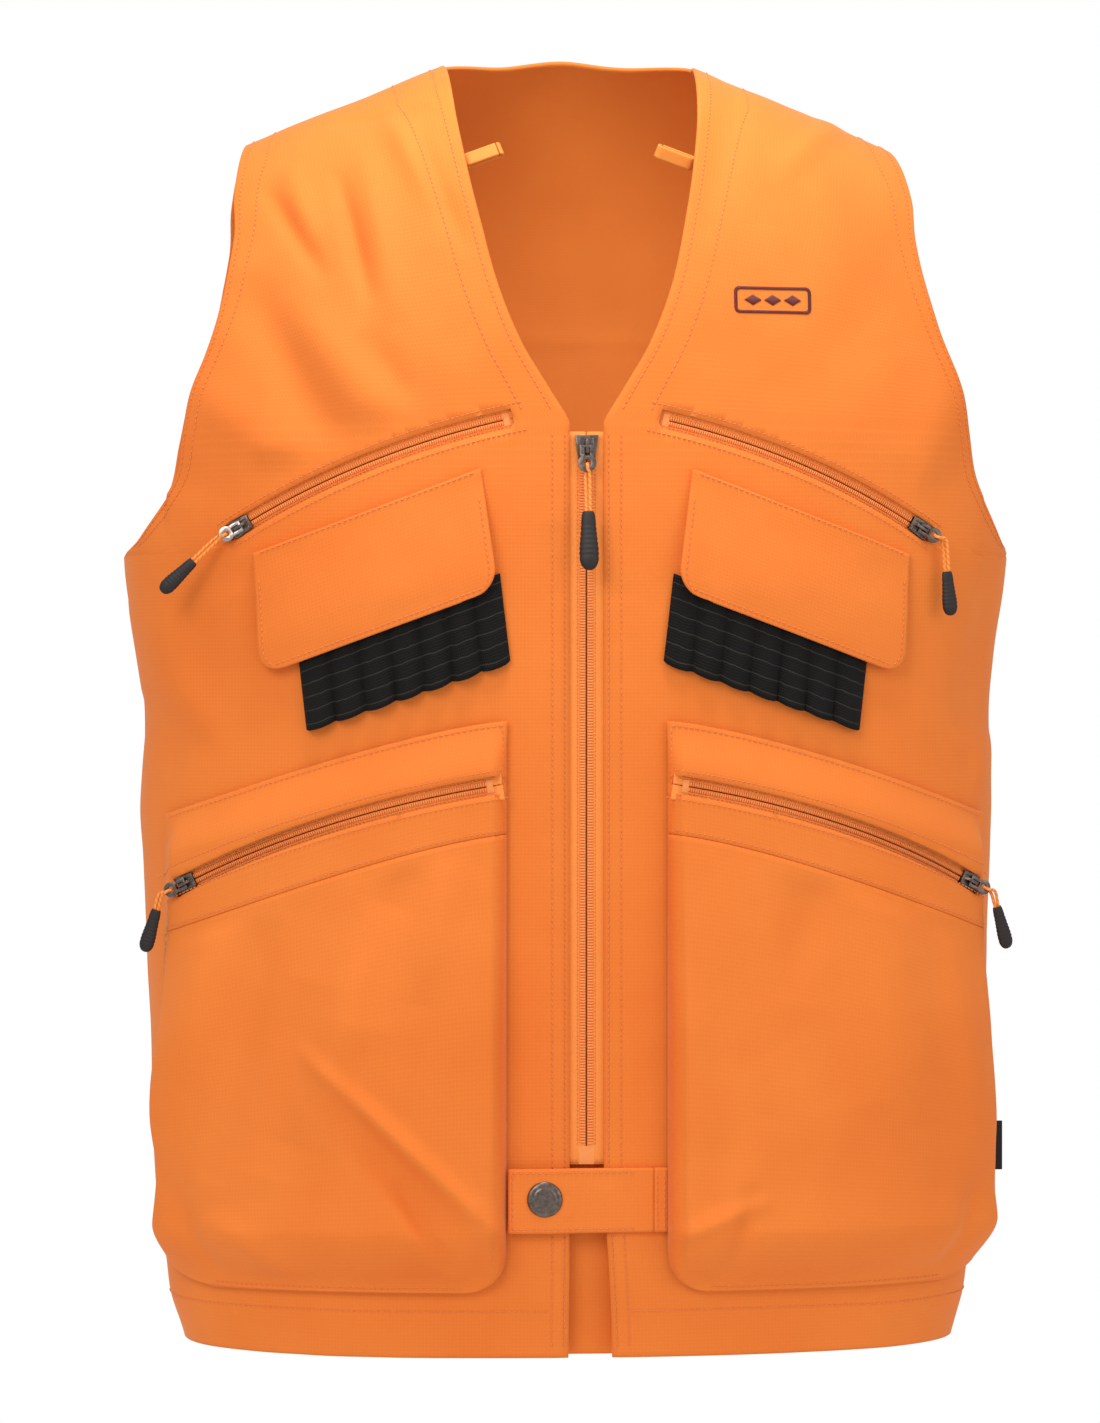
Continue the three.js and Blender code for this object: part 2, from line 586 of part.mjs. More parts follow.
// ---- chest pocket bags, hanging behind the panels ----
function chestBag(side) {
  const track = chestTrack(side);
  const below = [-13, -9, 9, 15, 40, 80, 118];
  const flat = -clothThick - layGap;
  const behindZip = pocketZip.footLow - 1.9;
  const depth = [flat, behindZip, behindZip, flat - 0.4, flat, flat, flat];
  const face = (out) => (u, v) => {
    const k = Math.round(v * (below.length - 1));
    const line = onTrack(track, mix(0.02, 0.98, u), 0, 0);
    const tuck = 10 * ease((below[k] - 40) / 78) * (2 * u - 1);
    return onFront(line.x - side * tuck, line.z - below[k], depth[k] + out);
  };
  return closedSheet(10, below.length - 1, face(0), face(-1.2));
}
for (const [name, side] of Object.entries(zipSides)) {
  add(`chest_pocket_bag_${name}`, chestBag(side), 'lining');
}

// ---- lower pockets: a yoke with the zip's window, and the bag under it ----
const yokeThick = 1.6;
function yoke(side) {
  const face = (out) => (u, v) => {
    const x = xBetween(pocket.inner, pocket.outer, pocket.seamInner, pocketColumn(u));
    const seam = pocketLine(x, pocket.seamInner, pocket.seamOuter) + seamGap;
    const z = mix(seam, pocketLine(x, pocket.topInner, pocket.topOuter), v);
    return onFront(side * x, z, pocketLift(x, z) + out);
  };
  const sheet = closedSheet(pocketColumns.length - 1, 6, face(0), face(-yokeThick));
  return cut(sheet, windowCut(lowerTrack(side), pocketZip));
}
function bag(side) {
  const face = (out) => (u, v) => {
    const seamShare = v ** 1.25;
    const low = pocket.bottom;
    const rough = mix(low, pocket.seamInner, seamShare) - low;
    const corner = Math.max(0, pocket.cornerRadius - rough);
    const inset = pocket.cornerRadius - Math.sqrt(pocket.cornerRadius ** 2 - corner ** 2);
    const outer = pocket.outer - inset - pocket.footTaper * (1 - v);
    const x = xBetween(pocket.inner + inset, outer, rough + low, pocketColumn(u));
    const z = mix(low, pocketLine(x, pocket.seamInner, pocket.seamOuter) - seamGap, seamShare);
    return onFront(side * x, z, pocketLift(x, z) + out);
  };
  return closedSheet(pocketColumns.length - 1, 11, face(0), face(-clothThick));
}
for (const [name, side] of Object.entries(zipSides)) {
  add(`lower_pocket_yoke_${name}`, yoke(side), 'cloth');
  add(`lower_pocket_bag_${name}`, bag(side), 'cloth');
}

// ---- cartridge loops and the flaps over them ----
const loops = {
  count: 7, thick: 1.5, swell: 1.9, scallop: 2.5,
  topInner: [46.5, 420], topOuter: [153, 378], lowInner: [41, 372], lowOuter: [148.5, 335],
};
const flap = {
  topInner: [57, 476], topOuter: [177, 431], lowInner: [48, 412], lowOuter: [171, 366],
  thick: 2.2, corner: 12, lift: layGap + loops.swell + loops.thick + layGap,
};
const patchAt = (patch, u, v) => [0, 1].map((k) => mix(
  mix(patch.lowInner[k], patch.lowOuter[k], u),
  mix(patch.topInner[k], patch.topOuter[k], u), v,
));

function loopBand(side) {
  const face = (out) => (u, v) => {
    const [x, z] = patchAt(loops, u, v);
    const wave = Math.abs(Math.sin(Math.PI * loops.count * u)) ** 0.8;
    const scallop = loops.scallop * (1 - wave) * (1 - v);
    return onFront(side * x, z + scallop, layGap + loops.swell * wave + out);
  };
  return closedSheet(loops.count * 4, 2, face(loops.thick), face(0));
}
const flapLift = (v) => mix(flap.lift, layGap, ease(v * 1.25 - 0.15));
function flapSheet(side) {
  const height = flap.topInner[1] - flap.lowInner[1];
  const width = flap.topOuter[0] - flap.topInner[0];
  const face = (out) => (u, v) => {
    const corner = Math.max(0, flap.corner - v * height);
    const inset = (flap.corner - Math.sqrt(flap.corner ** 2 - corner ** 2)) / width;
    const [x, z] = patchAt(flap, mix(inset, 1 - inset, u), v);
    return onFront(side * x, z, flapLift(v) + out);
  };
  return closedSheet(10, 7, face(flap.thick), face(0));
}
for (const [name, side] of Object.entries(zipSides)) {
  add(`cartridge_loops_${name}`, loopBand(side), 'elastic');
  add(`chest_flap_${name}`, flapSheet(side), 'cloth');
}

// ---- hem tab with its press stud ----
const hemTab = {
  free: -42, sewn: 35.7, anchor: 36.2, end: 43, low: 68, high: 102, thick: 2.2, lift: 4.2, flat: -8,
};
const snapAt = [-23, 86];
const snap = {
  capRadius: 9.5, socketRadius: 5.6, studRadius: 2.3, clearance: 0.4, postRadius: 1.7,
  socketLow: 1.6, footTop: 1.1, studTop: 3.3,
};
const tabLift = (x) => mix(hemTab.lift, layGap, ease((x - snapAt[0] - 4) / (hemTab.flat - snapAt[0] + 4)));
function hemSheet(x0, x1, columns) {
  const face = (out) => (u, v) => {
    const x = mix(x0, x1, u);
    return onFront(x, mix(hemTab.low, hemTab.high, v), tabLift(x) + out);
  };
  return closedSheet(columns, 2, face(hemTab.thick), face(0));
}
const snapPlace = new THREE.Matrix4().makeBasis(vec(1, 0, 0), vec(0, 0, 1), vec(0, -1, 0))
  .setPosition(onFront(snapAt[0], snapAt[1]));
const snapHole = disc(snap.postRadius + snap.clearance, 0, 20, 16).applyMatrix4(snapPlace);
add('hem_tab', cut(hemSheet(hemTab.free, hemTab.sewn, 14), snapHole), 'cloth');
add('hem_tab_anchor', hemSheet(hemTab.anchor, hemTab.end, 2), 'cloth');
const capFoot = hemTab.lift + hemTab.thick + seamGap;
const capProfile = [
  [0, 0], [snap.capRadius, 0], [snap.capRadius, 0.2], [8.6, 0.9], [6.2, 1.5], [3, 1.85], [0, 1.9],
];
const cap = new THREE.LatheGeometry(flatPoints(capProfile), 20).rotateX(Math.PI / 2).translate(0, 0, capFoot);
const capPost = disc(snap.postRadius, hemTab.lift + 0.1, capFoot + 0.2, 16);
const socketHole = disc(snap.studRadius + snap.clearance, snap.socketLow - 0.6, hemTab.lift + 2);
const studPost = disc(snap.studRadius, snap.footTop - 0.1, snap.studTop, 16);
const snapParts = {
  snap_cap: joined(cap, capPost),
  snap_socket: cut(disc(snap.socketRadius, snap.socketLow, hemTab.lift - seamGap), socketHole),
  snap_stud: joined(disc(snap.socketRadius, seamGap, snap.footTop), studPost),
};
for (const [name, geometry] of Object.entries(snapParts)) {
  add(name, geometry, 'metal').applyMatrix4(snapPlace);
}

// ---- hanger loops inside the neck ----
const hanger = { length: 22, height: 6, wall: 1.4, width: 7, at: [64, 648], depth: 5.7, rise: deg(20) };
function hangerLoop(side) {
  const stadium = (shape, inset) => {
    const r = hanger.height / 2 - inset;
    shape.absarc(hanger.height / 2, 0, r, Math.PI / 2, Math.PI * 1.5, false);
    shape.absarc(hanger.length - hanger.height / 2, 0, r, -Math.PI / 2, Math.PI / 2, false);
    return shape;
  };
  const outline = stadium(new THREE.Shape(), 0);
  outline.holes.push(stadium(new THREE.Path(), hanger.wall));
  const strap = plate(outline, -hanger.width / 2, hanger.width / 2);
  strap.rotateX(Math.PI / 2).rotateY(-hanger.rise);
  if (side > 0) strap.rotateZ(Math.PI);
  const seat = onFront(side * hanger.at[0], hanger.at[1], -clothThick - hanger.depth);
  return strap.translate(seat.x, seat.y, seat.z);
}
for (const [name, side] of Object.entries(zipSides)) {
  add(`hanger_loop_${name}`, hangerLoop(side), 'cloth');
}

// ---- blank side label and chest patch ----
const label = { at: [223.5, 105], width: 15, height: 27, thick: 0.8, turn: deg(-4) };
const labelSeat = onFront(label.at[0], label.at[1], layGap);
const labelBlock = block(0, label.width, -label.thick, 0, -label.height / 2, label.height / 2);
labelBlock.rotateZ(label.turn).translate(labelSeat.x, labelSeat.y, labelSeat.z);
add('side_label', labelBlock, 'label');

const patch = { at: [102, 568], width: 43, height: 15, thick: 0.9, gap: 0.5 };
function patchFace(out) {
  return (u, v) => {
    const end = 1 - (2 * v - 1) ** 4 * 0.12;
    const x = patch.at[0] + (u - 0.5) * patch.width * end;
    return onFront(x, patch.at[1] + (v - 0.5) * patch.height, patch.gap + out);
  };
}
add('chest_patch', closedSheet(8, 4, patchFace(patch.thick), patchFace(0)), 'thread');

export default vest;
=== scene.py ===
# A blaze orange field vest in worn shape: ripstop cloth, five coil zips, bellows pockets and cartridge loops.
# Lengths are millimetres with heights measured up from the hem, and become metres of the frame when a mesh is made.
import math
import bpy
import numpy as np
from mathutils import Matrix, Vector


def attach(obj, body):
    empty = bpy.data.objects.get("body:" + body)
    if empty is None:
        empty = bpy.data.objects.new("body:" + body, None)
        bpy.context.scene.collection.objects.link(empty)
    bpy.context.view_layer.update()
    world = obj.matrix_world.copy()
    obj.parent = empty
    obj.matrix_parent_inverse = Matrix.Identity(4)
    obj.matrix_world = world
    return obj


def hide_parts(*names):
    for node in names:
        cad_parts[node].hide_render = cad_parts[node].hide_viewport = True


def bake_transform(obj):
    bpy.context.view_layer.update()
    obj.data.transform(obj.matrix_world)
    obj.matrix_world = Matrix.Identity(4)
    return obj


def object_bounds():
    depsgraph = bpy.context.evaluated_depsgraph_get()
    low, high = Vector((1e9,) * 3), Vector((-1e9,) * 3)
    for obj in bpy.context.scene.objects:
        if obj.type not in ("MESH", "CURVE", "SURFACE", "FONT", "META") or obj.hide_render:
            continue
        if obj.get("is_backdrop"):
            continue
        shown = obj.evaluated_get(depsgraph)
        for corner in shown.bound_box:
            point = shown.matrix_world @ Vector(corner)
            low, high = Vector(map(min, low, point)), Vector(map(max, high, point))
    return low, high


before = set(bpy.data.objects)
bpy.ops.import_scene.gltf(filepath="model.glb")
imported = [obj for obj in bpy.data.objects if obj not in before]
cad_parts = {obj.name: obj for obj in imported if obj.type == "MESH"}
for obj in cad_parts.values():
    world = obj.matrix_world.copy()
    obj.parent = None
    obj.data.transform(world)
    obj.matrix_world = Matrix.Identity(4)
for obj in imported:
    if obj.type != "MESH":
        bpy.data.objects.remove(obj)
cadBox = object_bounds()
bpy.ops.object.select_all(action="DESELECT")
print("frame loaded")

mm = 0.001
neckHeight = 705  # the frame's origin is this far above the hem
sides = {"left": 1, "right": -1}
body = dict(
    halfDepth=130, power=0.8, chestHeight=490, hemTuck=6, hemTuckRun=60, underarm=432,
    ridgeRun=240, ridgeApex=727.9, ridgeFall=0.173, ridgePower=1.15, ridgeRound=14,
    halfWidths=[[0, 214], [30, 222], [130, 229], [290, 237], [350, 235.5], [432, 246], [560, 240], [730, 232]],
)


# ---- numbers and curves
def ease(t):
    t = np.clip(t, 0, 1)
    return t * t * (3 - 2 * t)


def mix(a, b, t):
    return a + (b - a) * t


def through(points, at):  # a smooth line through [position, value] pairs
    xs, ys = np.array(points, float).T
    last = len(xs) - 1
    at = np.clip(np.asarray(at, float), xs[0], xs[-1])
    k = np.clip(np.searchsorted(xs, at) - 1, 0, last - 1)
    slope = lambda a, b: (ys[b] - ys[a]) / (xs[b] - xs[a])
    own = slope(k, k + 1)
    before, after = slope(np.maximum(0, k - 1), k + 1), slope(k, np.minimum(last, k + 2))
    span = xs[k + 1] - xs[k]
    t = (at - xs[k]) / span
    return mix(ys[k], ys[k + 1], t) + t * (1 - t) * span * ((1 - t) * (before - own) - t * (after - own))


def noise(a, b, seed):  # smooth, from -1 to 1, one bump a unit
    table = np.random.default_rng(seed).random((64, 64)) * 2 - 1
    ia, ib = np.floor(a).astype(int), np.floor(b).astype(int)
    fa, fb = ease(a - ia), ease(b - ib)
    corner = lambda i, j: table[(ia + i) % 64, (ib + j) % 64]
    return mix(mix(corner(0, 0), corner(1, 0), fa), mix(corner(0, 1), corner(1, 1), fa), fb)


def unit(v):
    return v / np.maximum(np.linalg.norm(v, axis=-1, keepdims=True), 1e-9)


def gridNormals(grid):
    return unit(np.cross(np.gradient(grid, axis=1), np.gradient(grid, axis=0)))


def foldHeight(x, z, folds):  # soft ridges and valleys, each along one line: x0, z0, x1, z1, width, height
    total = np.zeros(np.broadcast(x, z).shape)
    for x0, z0, x1, z1, width, height in folds:
        dx, dz = x1 - x0, z1 - z0
        length = math.hypot(dx, dz)
        t = ((x - x0) * dx + (z - z0) * dz) / length**2
        side = ((x - x0) * dz - (z - z0) * dx) / length
        taper = np.sin(np.pi * np.clip((t + 0.15) / 1.3, 0, 1)) ** 0.8
        total += height * taper * np.exp(-((side / width) ** 2))
    return total


# ---- the body surface. turn: 0 at the front, a quarter turn at the left side; run: along the cloth from the hem
def halfWidth(run):
    return through(body["halfWidths"], run)


def ridgeHeight(x):
    return body["ridgeApex"] - body["ridgeFall"] * np.hypot(x, body["ridgeRound"]) ** body["ridgePower"]


def surface(turn, run):
    s, c = np.sin(turn), np.cos(turn)
    x = halfWidth(run) * np.sign(s) * np.abs(s) ** body["power"]
    lean = np.maximum(0, run - body["chestHeight"]) / body["ridgeRun"] * np.pi / 2
    tuck = body["hemTuck"] * (1 - ease(run / body["hemTuckRun"]))
    y = -(body["halfDepth"] - tuck) * np.sign(c) * np.abs(c) ** body["power"] * np.cos(lean)
    z = np.where(lean > 0, mix(body["chestHeight"], ridgeHeight(x), np.sin(lean)), run)
    return np.stack(np.broadcast_arrays(x, y, z), -1)


def onBody(turn, run, out=0.0):
    turn, run = np.asarray(turn, float), np.asarray(run, float)
    along = surface(turn + 0.002, run) - surface(turn - 0.002, run)
    up = surface(turn, run + 0.5) - surface(turn, run - 0.5)
    return surface(turn, run) + unit(np.cross(along, up)) * np.asarray(out, float)[..., None]


def turnAt(x, run):
    share = np.minimum(1, np.abs(x) / halfWidth(run))
    return np.sign(x) * np.arcsin(share ** (1 / body["power"]))


def runAt(x, z):
    chest, ridge = body["chestHeight"], body["ridgeRun"]
    share = np.clip((z - chest) / (ridgeHeight(x) - chest), 0, 1)
    return np.where(z <= chest, z, chest + ridge * np.arcsin(share) * 2 / np.pi)


def onFront(x, z, out=0.0):
    x, z = np.broadcast_arrays(np.asarray(x, float), np.asarray(z, float))
    run = runAt(x, z)
    return onBody(turnAt(x, run), run, np.broadcast_to(out, x.shape))


def arcTrack(first, middle, last, outward):  # a zip's line on an arc through three points
    a, b = middle - first, last - first
    normal = np.cross(a, b)
    toCentre = (np.cross(b, normal) * (a @ a) + np.cross(normal, a) * (b @ b)) / (2 * normal @ normal)
    centre, axis = first + toCentre, unit(normal)
    radius = np.linalg.norm(toCentre)
    e1 = unit(first - centre)
    e2 = np.cross(axis, e1)
    angleOf = lambda p: np.arctan2((p - centre) @ e2, (p - centre) @ e1)
    sweep = angleOf(last)
    radial = lambda s: np.cos(s * sweep)[..., None] * e1 + np.sin(s * sweep)[..., None] * e2
    middleRadial = radial(np.asarray(angleOf(middle) / sweep))
    out = unit(np.array([outward @ middleRadial, outward @ axis]))

    def frameAt(s):
        r = radial(np.asarray(s, float))
        along = np.cross(axis, r) * np.sign(sweep)
        d = r * out[0] + axis * out[1]
        return centre + r * radius, along, np.cross(d, along), d

    return dict(frameAt=frameAt, shareOf=lambda p: angleOf(p) / sweep, length=abs(sweep) * radius)


def straightTrack(first, last, outward):
    along, long = unit(last - first), np.linalg.norm(last - first)

    def frameAt(s):
        s = np.asarray(s, float)[..., None]
        same = lambda v: np.broadcast_to(v, s.shape[:-1] + (3,))
        return first + (last - first) * s, same(along), same(np.cross(outward, along)), same(outward)

    return dict(frameAt=frameAt, shareOf=lambda p: (p - first) @ along / long, length=long)


def onTrack(track, s, w, d):
    origin, _, across, out = track["frameAt"](s)
    return origin + across * np.asarray(w, float)[..., None] + out * np.asarray(d, float)[..., None]


# ---- sizes shared by the cloth and the zips
cloth = dict(thick=2.0, gap=0.8, seam=0.3)
chestZip = dict(inner=[41, 503], middle=[112, 481.5], outer=[184, 446])
lowerZip = dict(inner=[50, 307], middle=[132, 287], outer=[206, 254])
pocket = dict(
    gap=1.7, inner=43, outer=222, bottom=36, topInner=341, topOuter=290, seamInner=281, seamOuter=224,
    zipLift=8.4, zipEase=26, bagLift=16, bagStart=45, bagEase=130, corner=22, footTaper=3, hemEase=34,
    innerEase=7, outerEase=10,
)
mainZip = dict(
    chainGap=0.75, coilWidth=3, coilTop=-1.4, tapeEdge=17, tapeTop=-2.5, tapeLow=-3.2,
    window=9.5, plateTop=0.2, plateLow=-1, footTop=-6.4, footLow=-7.4, mouth=6.3, tail=4.6, halfLength=6.2,
    web=0.35, lean=13, mouthSide=-1, tabLength=14, tabHalf=5.4, waist=2.9, eye=3.2, gripLength=32, gripRadius=5.4,
    pitch=1.5,
)
pocketZip = dict(
    chainGap=0.65, coilWidth=2.2, coilTop=-1.2, tapeEdge=8, tapeTop=-2.4, tapeLow=-3.0,
    window=5.2, plateTop=0.4, plateLow=-0.7, footTop=-5.4, footLow=-6.2, mouth=4.9, tail=3.7, halfLength=5.6,
    web=0.3, lean=16, mouthSide=1, tabLength=12.5, tabHalf=4.3, waist=2.6, eye=2.6, gripLength=24, gripRadius=4.3,
    pitch=1.25,
)
pull = dict(tabThick=1.4, gap=0.5, cordRadius=0.9, bridgeReach=4.3, bridgeHalf=0.8, inGrip=12)
zipBottom, mainTop, mainPullHeight = 104, 496, 488


def pocketLine(x, inner, outer):
    share = np.clip((np.abs(x) - pocket["inner"]) / (pocket["outer"] - pocket["inner"]), 0, 1)
    return mix(inner, outer, share**1.35)


def pocketSeam(x):
    return pocketLine(x, pocket["seamInner"], pocket["seamOuter"])


def pocketTop(x):
    return pocketLine(x, pocket["topInner"], pocket["topOuter"])


def pocketLift(x, z):  # how far the lower pockets' cloth stands off the front
    x = np.abs(x)
    below = pocketTop(x) - z
    atZip = pocket["zipLift"] * ease(below / pocket["zipEase"])
    bag = ease((below - pocket["bagStart"]) / pocket["bagEase"])
    fall = np.where(below < pocket["zipEase"], atZip, mix(pocket["zipLift"], pocket["bagLift"], bag))
    edges = ease((x - pocket["inner"]) / pocket["innerEase"]) * ease((pocket["outer"] - x) / pocket["outerEase"])
    foot = ease((z - pocket["bottom"]) / pocket["hemEase"])
    return cloth["thick"] + pocket["gap"] + fall * edges * foot


def pocketTrack(side, line, lift):
    at = lambda p: onFront(side * p[0], p[1], lift(p[0], p[1]))
    x, z = line["middle"]
    return arcTrack(at(line["inner"]), at(line["middle"]), at(line["outer"]),
                    onFront(side * x, z, 1) - onFront(side * x, z, 0))


zips = {"main_zip": dict(kind=mainZip, droop=0, cordRun=22, at=(mainTop - mainPullHeight) / (mainTop - zipBottom),
                         track=straightTrack(np.array([0, -130.0, mainTop]), np.array([0, -130.0, zipBottom]),
                                             np.array([0, -1.0, 0])))}
for sideName, side in sides.items():
    zips[f"chest_zip_{sideName}"] = dict(kind=pocketZip, droop=56 if side > 0 else 14, at=1, cordRun=19,
                                         track=pocketTrack(side, chestZip, lambda x, z: -0.3))
    yokeDepth = cloth["thick"] + pocket["gap"] + pocket["zipLift"] - 1.6
    zips[f"lower_zip_{sideName}"] = dict(kind=pocketZip, droop=48, at=1, cordRun=11,
                                         track=pocketTrack(side, lowerZip, lambda x, z: yokeDepth))
for made in zips.values():  # the slider's frame, and the pull's frame that leans from the bar under the bridge
    kind = made["kind"]
    origin, along, across, out = made["track"]["frameAt"](float(made["at"]))
    stand = Matrix([[*row] for row in np.vstack([np.column_stack([along, across, out, origin]), [0, 0, 0, 1]])])
    barHeight = kind["plateTop"] + pull["gap"] + pull["tabThick"] / 2
    lift = Matrix.Translation((0, 0, barHeight))
    made["slider"] = stand
    made["pull"] = stand @ lift @ Matrix.Rotation(-math.radians(kind["lean"]), 4, "Y")
    made["down"] = 1 if across[2] < 0 else -1

# ---- camera, floor and light
camera = dict(turn=-4.5, distance=3.0, target=(-0.0095, 0.0, -0.3595), height=-0.338, viewHeight=0.795)
lens = bpy.data.cameras.new("camera")
lens.sensor_width = 36
lens.lens = 36 * camera["distance"] / camera["viewHeight"]
lens.clip_end = 50
cameraObject = bpy.data.objects.new("camera", lens)
bpy.context.scene.collection.objects.link(cameraObject)
bpy.context.scene.camera = cameraObject
turned = math.radians(camera["turn"])
target = Vector(camera["target"])
place = Vector((target.x + camera["distance"] * math.sin(turned), -camera["distance"] * math.cos(turned),
                camera["height"]))
cameraObject.location = place
cameraObject.rotation_euler = (target - place).to_track_quat("-Z", "Y").to_euler()
bpy.context.scene.view_settings.view_transform = "Standard"


def hexColour(code):  # sRGB hex to linear
    channels = [int(code[i:i + 2], 16) / 255 for i in (1, 3, 5)]
    return (*[c / 12.92 if c <= 0.04045 else ((c + 0.055) / 1.055) ** 2.4 for c in channels], 1)


def addNode(tree, kind, inputs=None, stops=(), **settings):
    made = tree.nodes.new("ShaderNode" + kind)
    for name, value in settings.items():
        setattr(made, name, value)
    for name, value in (inputs or {}).items():
        if isinstance(value, bpy.types.Node):
            value = value.outputs[0]
        if isinstance(value, bpy.types.NodeSocket):
            tree.links.new(value, made.inputs[name])
        else:
            made.inputs[name].default_value = value
    if stops:
        elements = made.color_ramp.elements
        elements.remove(elements[1])
        elements[0].position, elements[0].color = stops[0][0], hexColour(stops[0][1])
        for position, code in stops[1:]:
            elements.new(position).color = hexColour(code)
    return made


def startMaterial(name, colour, **settings):
    made = bpy.data.materials.new(name)
    made.use_nodes = True
    made.diffuse_color = hexColour(colour)
    shader = made.node_tree.nodes["Principled BSDF"]
    shader.inputs["Base Color"].default_value = hexColour(colour)
    for socket, value in settings.items():
        shader.inputs[socket.replace("_", " ")].default_value = value
    return made, made.node_tree, shader


lighting = dict(sky=0.63, key=22, fill=8, top=7, rim=8, inside=2.6)
world = bpy.data.worlds.new("studio")
world.use_nodes = True
bpy.context.scene.world = world
sky = world.node_tree
seen = addNode(sky, "LightPath").outputs["Is Camera Ray"]
strength = addNode(sky, "Math", {0: seen, 1: 1 - lighting["sky"], 2: lighting["sky"]}, operation="MULTIPLY_ADD")
sky.links.new(strength.outputs[0], sky.nodes["Background"].inputs["Strength"])
sky.nodes["Background"].inputs["Color"].default_value = (1, 1, 1, 1)


def softLight(name, power, size, location, at):
    lamp = bpy.data.lights.new(name, "AREA")
    lamp.energy, lamp.size = power, size
    made = bpy.data.objects.new(name, lamp)
    bpy.context.scene.collection.objects.link(made)
    made.location = location
    made.rotation_euler = (Vector(at) - Vector(location)).to_track_quat("-Z", "Y").to_euler()


softLight("key_light", lighting["key"], 1.2, (-1.3, -2.2, 1.0), (0, 0, -0.3))
softLight("fill_light", lighting["fill"], 1.6, (1.9, -1.8, 0.1), (0, 0, -0.35))
softLight("top_light", lighting["top"], 1.4, (0.1, -0.4, 2.1), (0, 0, -0.2))
softLight("rim_light", lighting["rim"], 1.4, (0.6, 2.4, 0.9), (0, 0, -0.3))
softLight("inside_light", lighting["inside"], 0.25, (0, -0.3, 0.34), (0, 0.12, -0.2))

floorPaint, tree, shader = startMaterial("matt_floor_paint", "#F1F0EE", Roughness=0.9)  # even, without gloss
grain = addNode(tree, "TexNoise", {"Vector": addNode(tree, "TexCoord").outputs["Object"], "Scale": 40})
tree.links.new(addNode(tree, "ValToRGB", {"Fac": grain}, stops=[(0.3, "#EFEEEC"), (0.7, "#F4F3F1")]).outputs[0],
               shader.inputs["Base Color"])
bpy.ops.mesh.primitive_plane_add(size=2.4, location=(0, 0, -0.98))
floor = bpy.context.object
floor.name = "floor"
floor.data.transform(floor.matrix_world)
floor.matrix_world = Matrix.Identity(4)
floor.data.materials.append(floorPaint)
floor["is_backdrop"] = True
print("camera, floor and light made")


# ---- materials
def waveScale(pitch):  # a wave texture's scale for one band every so many millimetres
    return 2 * math.pi / 20 / (pitch * mm)


def dressShader(tree, shader, colour, height, strength, depth):  # joins a colour and a relief so many millimetres deep
    relief = addNode(tree, "Bump", {"Height": height, "Strength": strength, "Distance": depth * mm})
    tree.links.new(colour.outputs[0], shader.inputs["Base Color"])
    tree.links.new(relief.outputs[0], shader.inputs["Normal"])


def clothMaterial(name, light, dark, pitch, sheen, roughness, bump):
    made, tree, shader = startMaterial(name, light, Roughness=roughness, Sheen_Weight=sheen, Sheen_Roughness=0.35)
    shader.inputs["Sheen Tint"].default_value = hexColour("#FFC79A")
    shader.inputs["Specular IOR Level"].default_value = 0.3
    coords = addNode(tree, "TexCoord")
    uv, place = coords.outputs["UV"], coords.outputs["Object"]
    bands = waveScale(pitch)
    warp = addNode(tree, "TexWave", {"Vector": uv, "Scale": bands}, bands_direction="X")
    weft = addNode(tree, "TexWave", {"Vector": uv, "Scale": bands}, bands_direction="Y")
    check = addNode(tree, "Math", {0: warp.outputs["Fac"], 1: weft.outputs["Fac"]}, operation="MAXIMUM")
    thread = addNode(tree, "Math", {0: check, 1: 3.0}, operation="POWER")
    yarn = addNode(tree, "TexNoise", {"Vector": uv, "Scale": 1400, "Detail": 3})
    tone = addNode(tree, "TexNoise", {"Vector": place, "Scale": 7, "Detail": 4, "Roughness": 0.6})
    factor = addNode(tree, "Math", {0: tone, 1: 0.75}, operation="MULTIPLY")
    factor = addNode(tree, "Math", {0: yarn, 1: 0.22, 2: factor}, operation="MULTIPLY_ADD")
    factor = addNode(tree, "Math", {0: thread, 1: 0.1, 2: factor}, operation="MULTIPLY_ADD")
    colour = addNode(tree, "ValToRGB", {"Fac": factor}, stops=[(0.3, dark), (0.78, light)])
    height = addNode(tree, "Math", {0: yarn, 1: 0.7, 2: thread}, operation="MULTIPLY_ADD")
    dressShader(tree, shader, colour, height, bump, 0.25)
    return made


# Polyester-cotton ripstop, piece dyed: matt, with a fine raised check.
ripstop = clothMaterial("blaze_ripstop_cloth", "#F58736", "#EB7527", 2.0, 0.2, 0.78, 0.22)
# Plain polyester taffeta lining: smoother, its weave hardly seen; its colour is painted lighter than the shell's,
# painted light for the shaded inside of the vest.
lining = clothMaterial("taffeta_lining_painted_light", "#F39440", "#EB8936", 1.2, 0.1, 0.7, 0.15)
# Woven polyester zip tape: closer weave; its orange is painted lighter than the shell's, painted light against the
# shade of the sunk zip windows.
zipTape = clothMaterial("woven_zip_tape_painted_light", "#FF9C4A", "#FA9040", 0.9, 0.15, 0.8, 0.4)


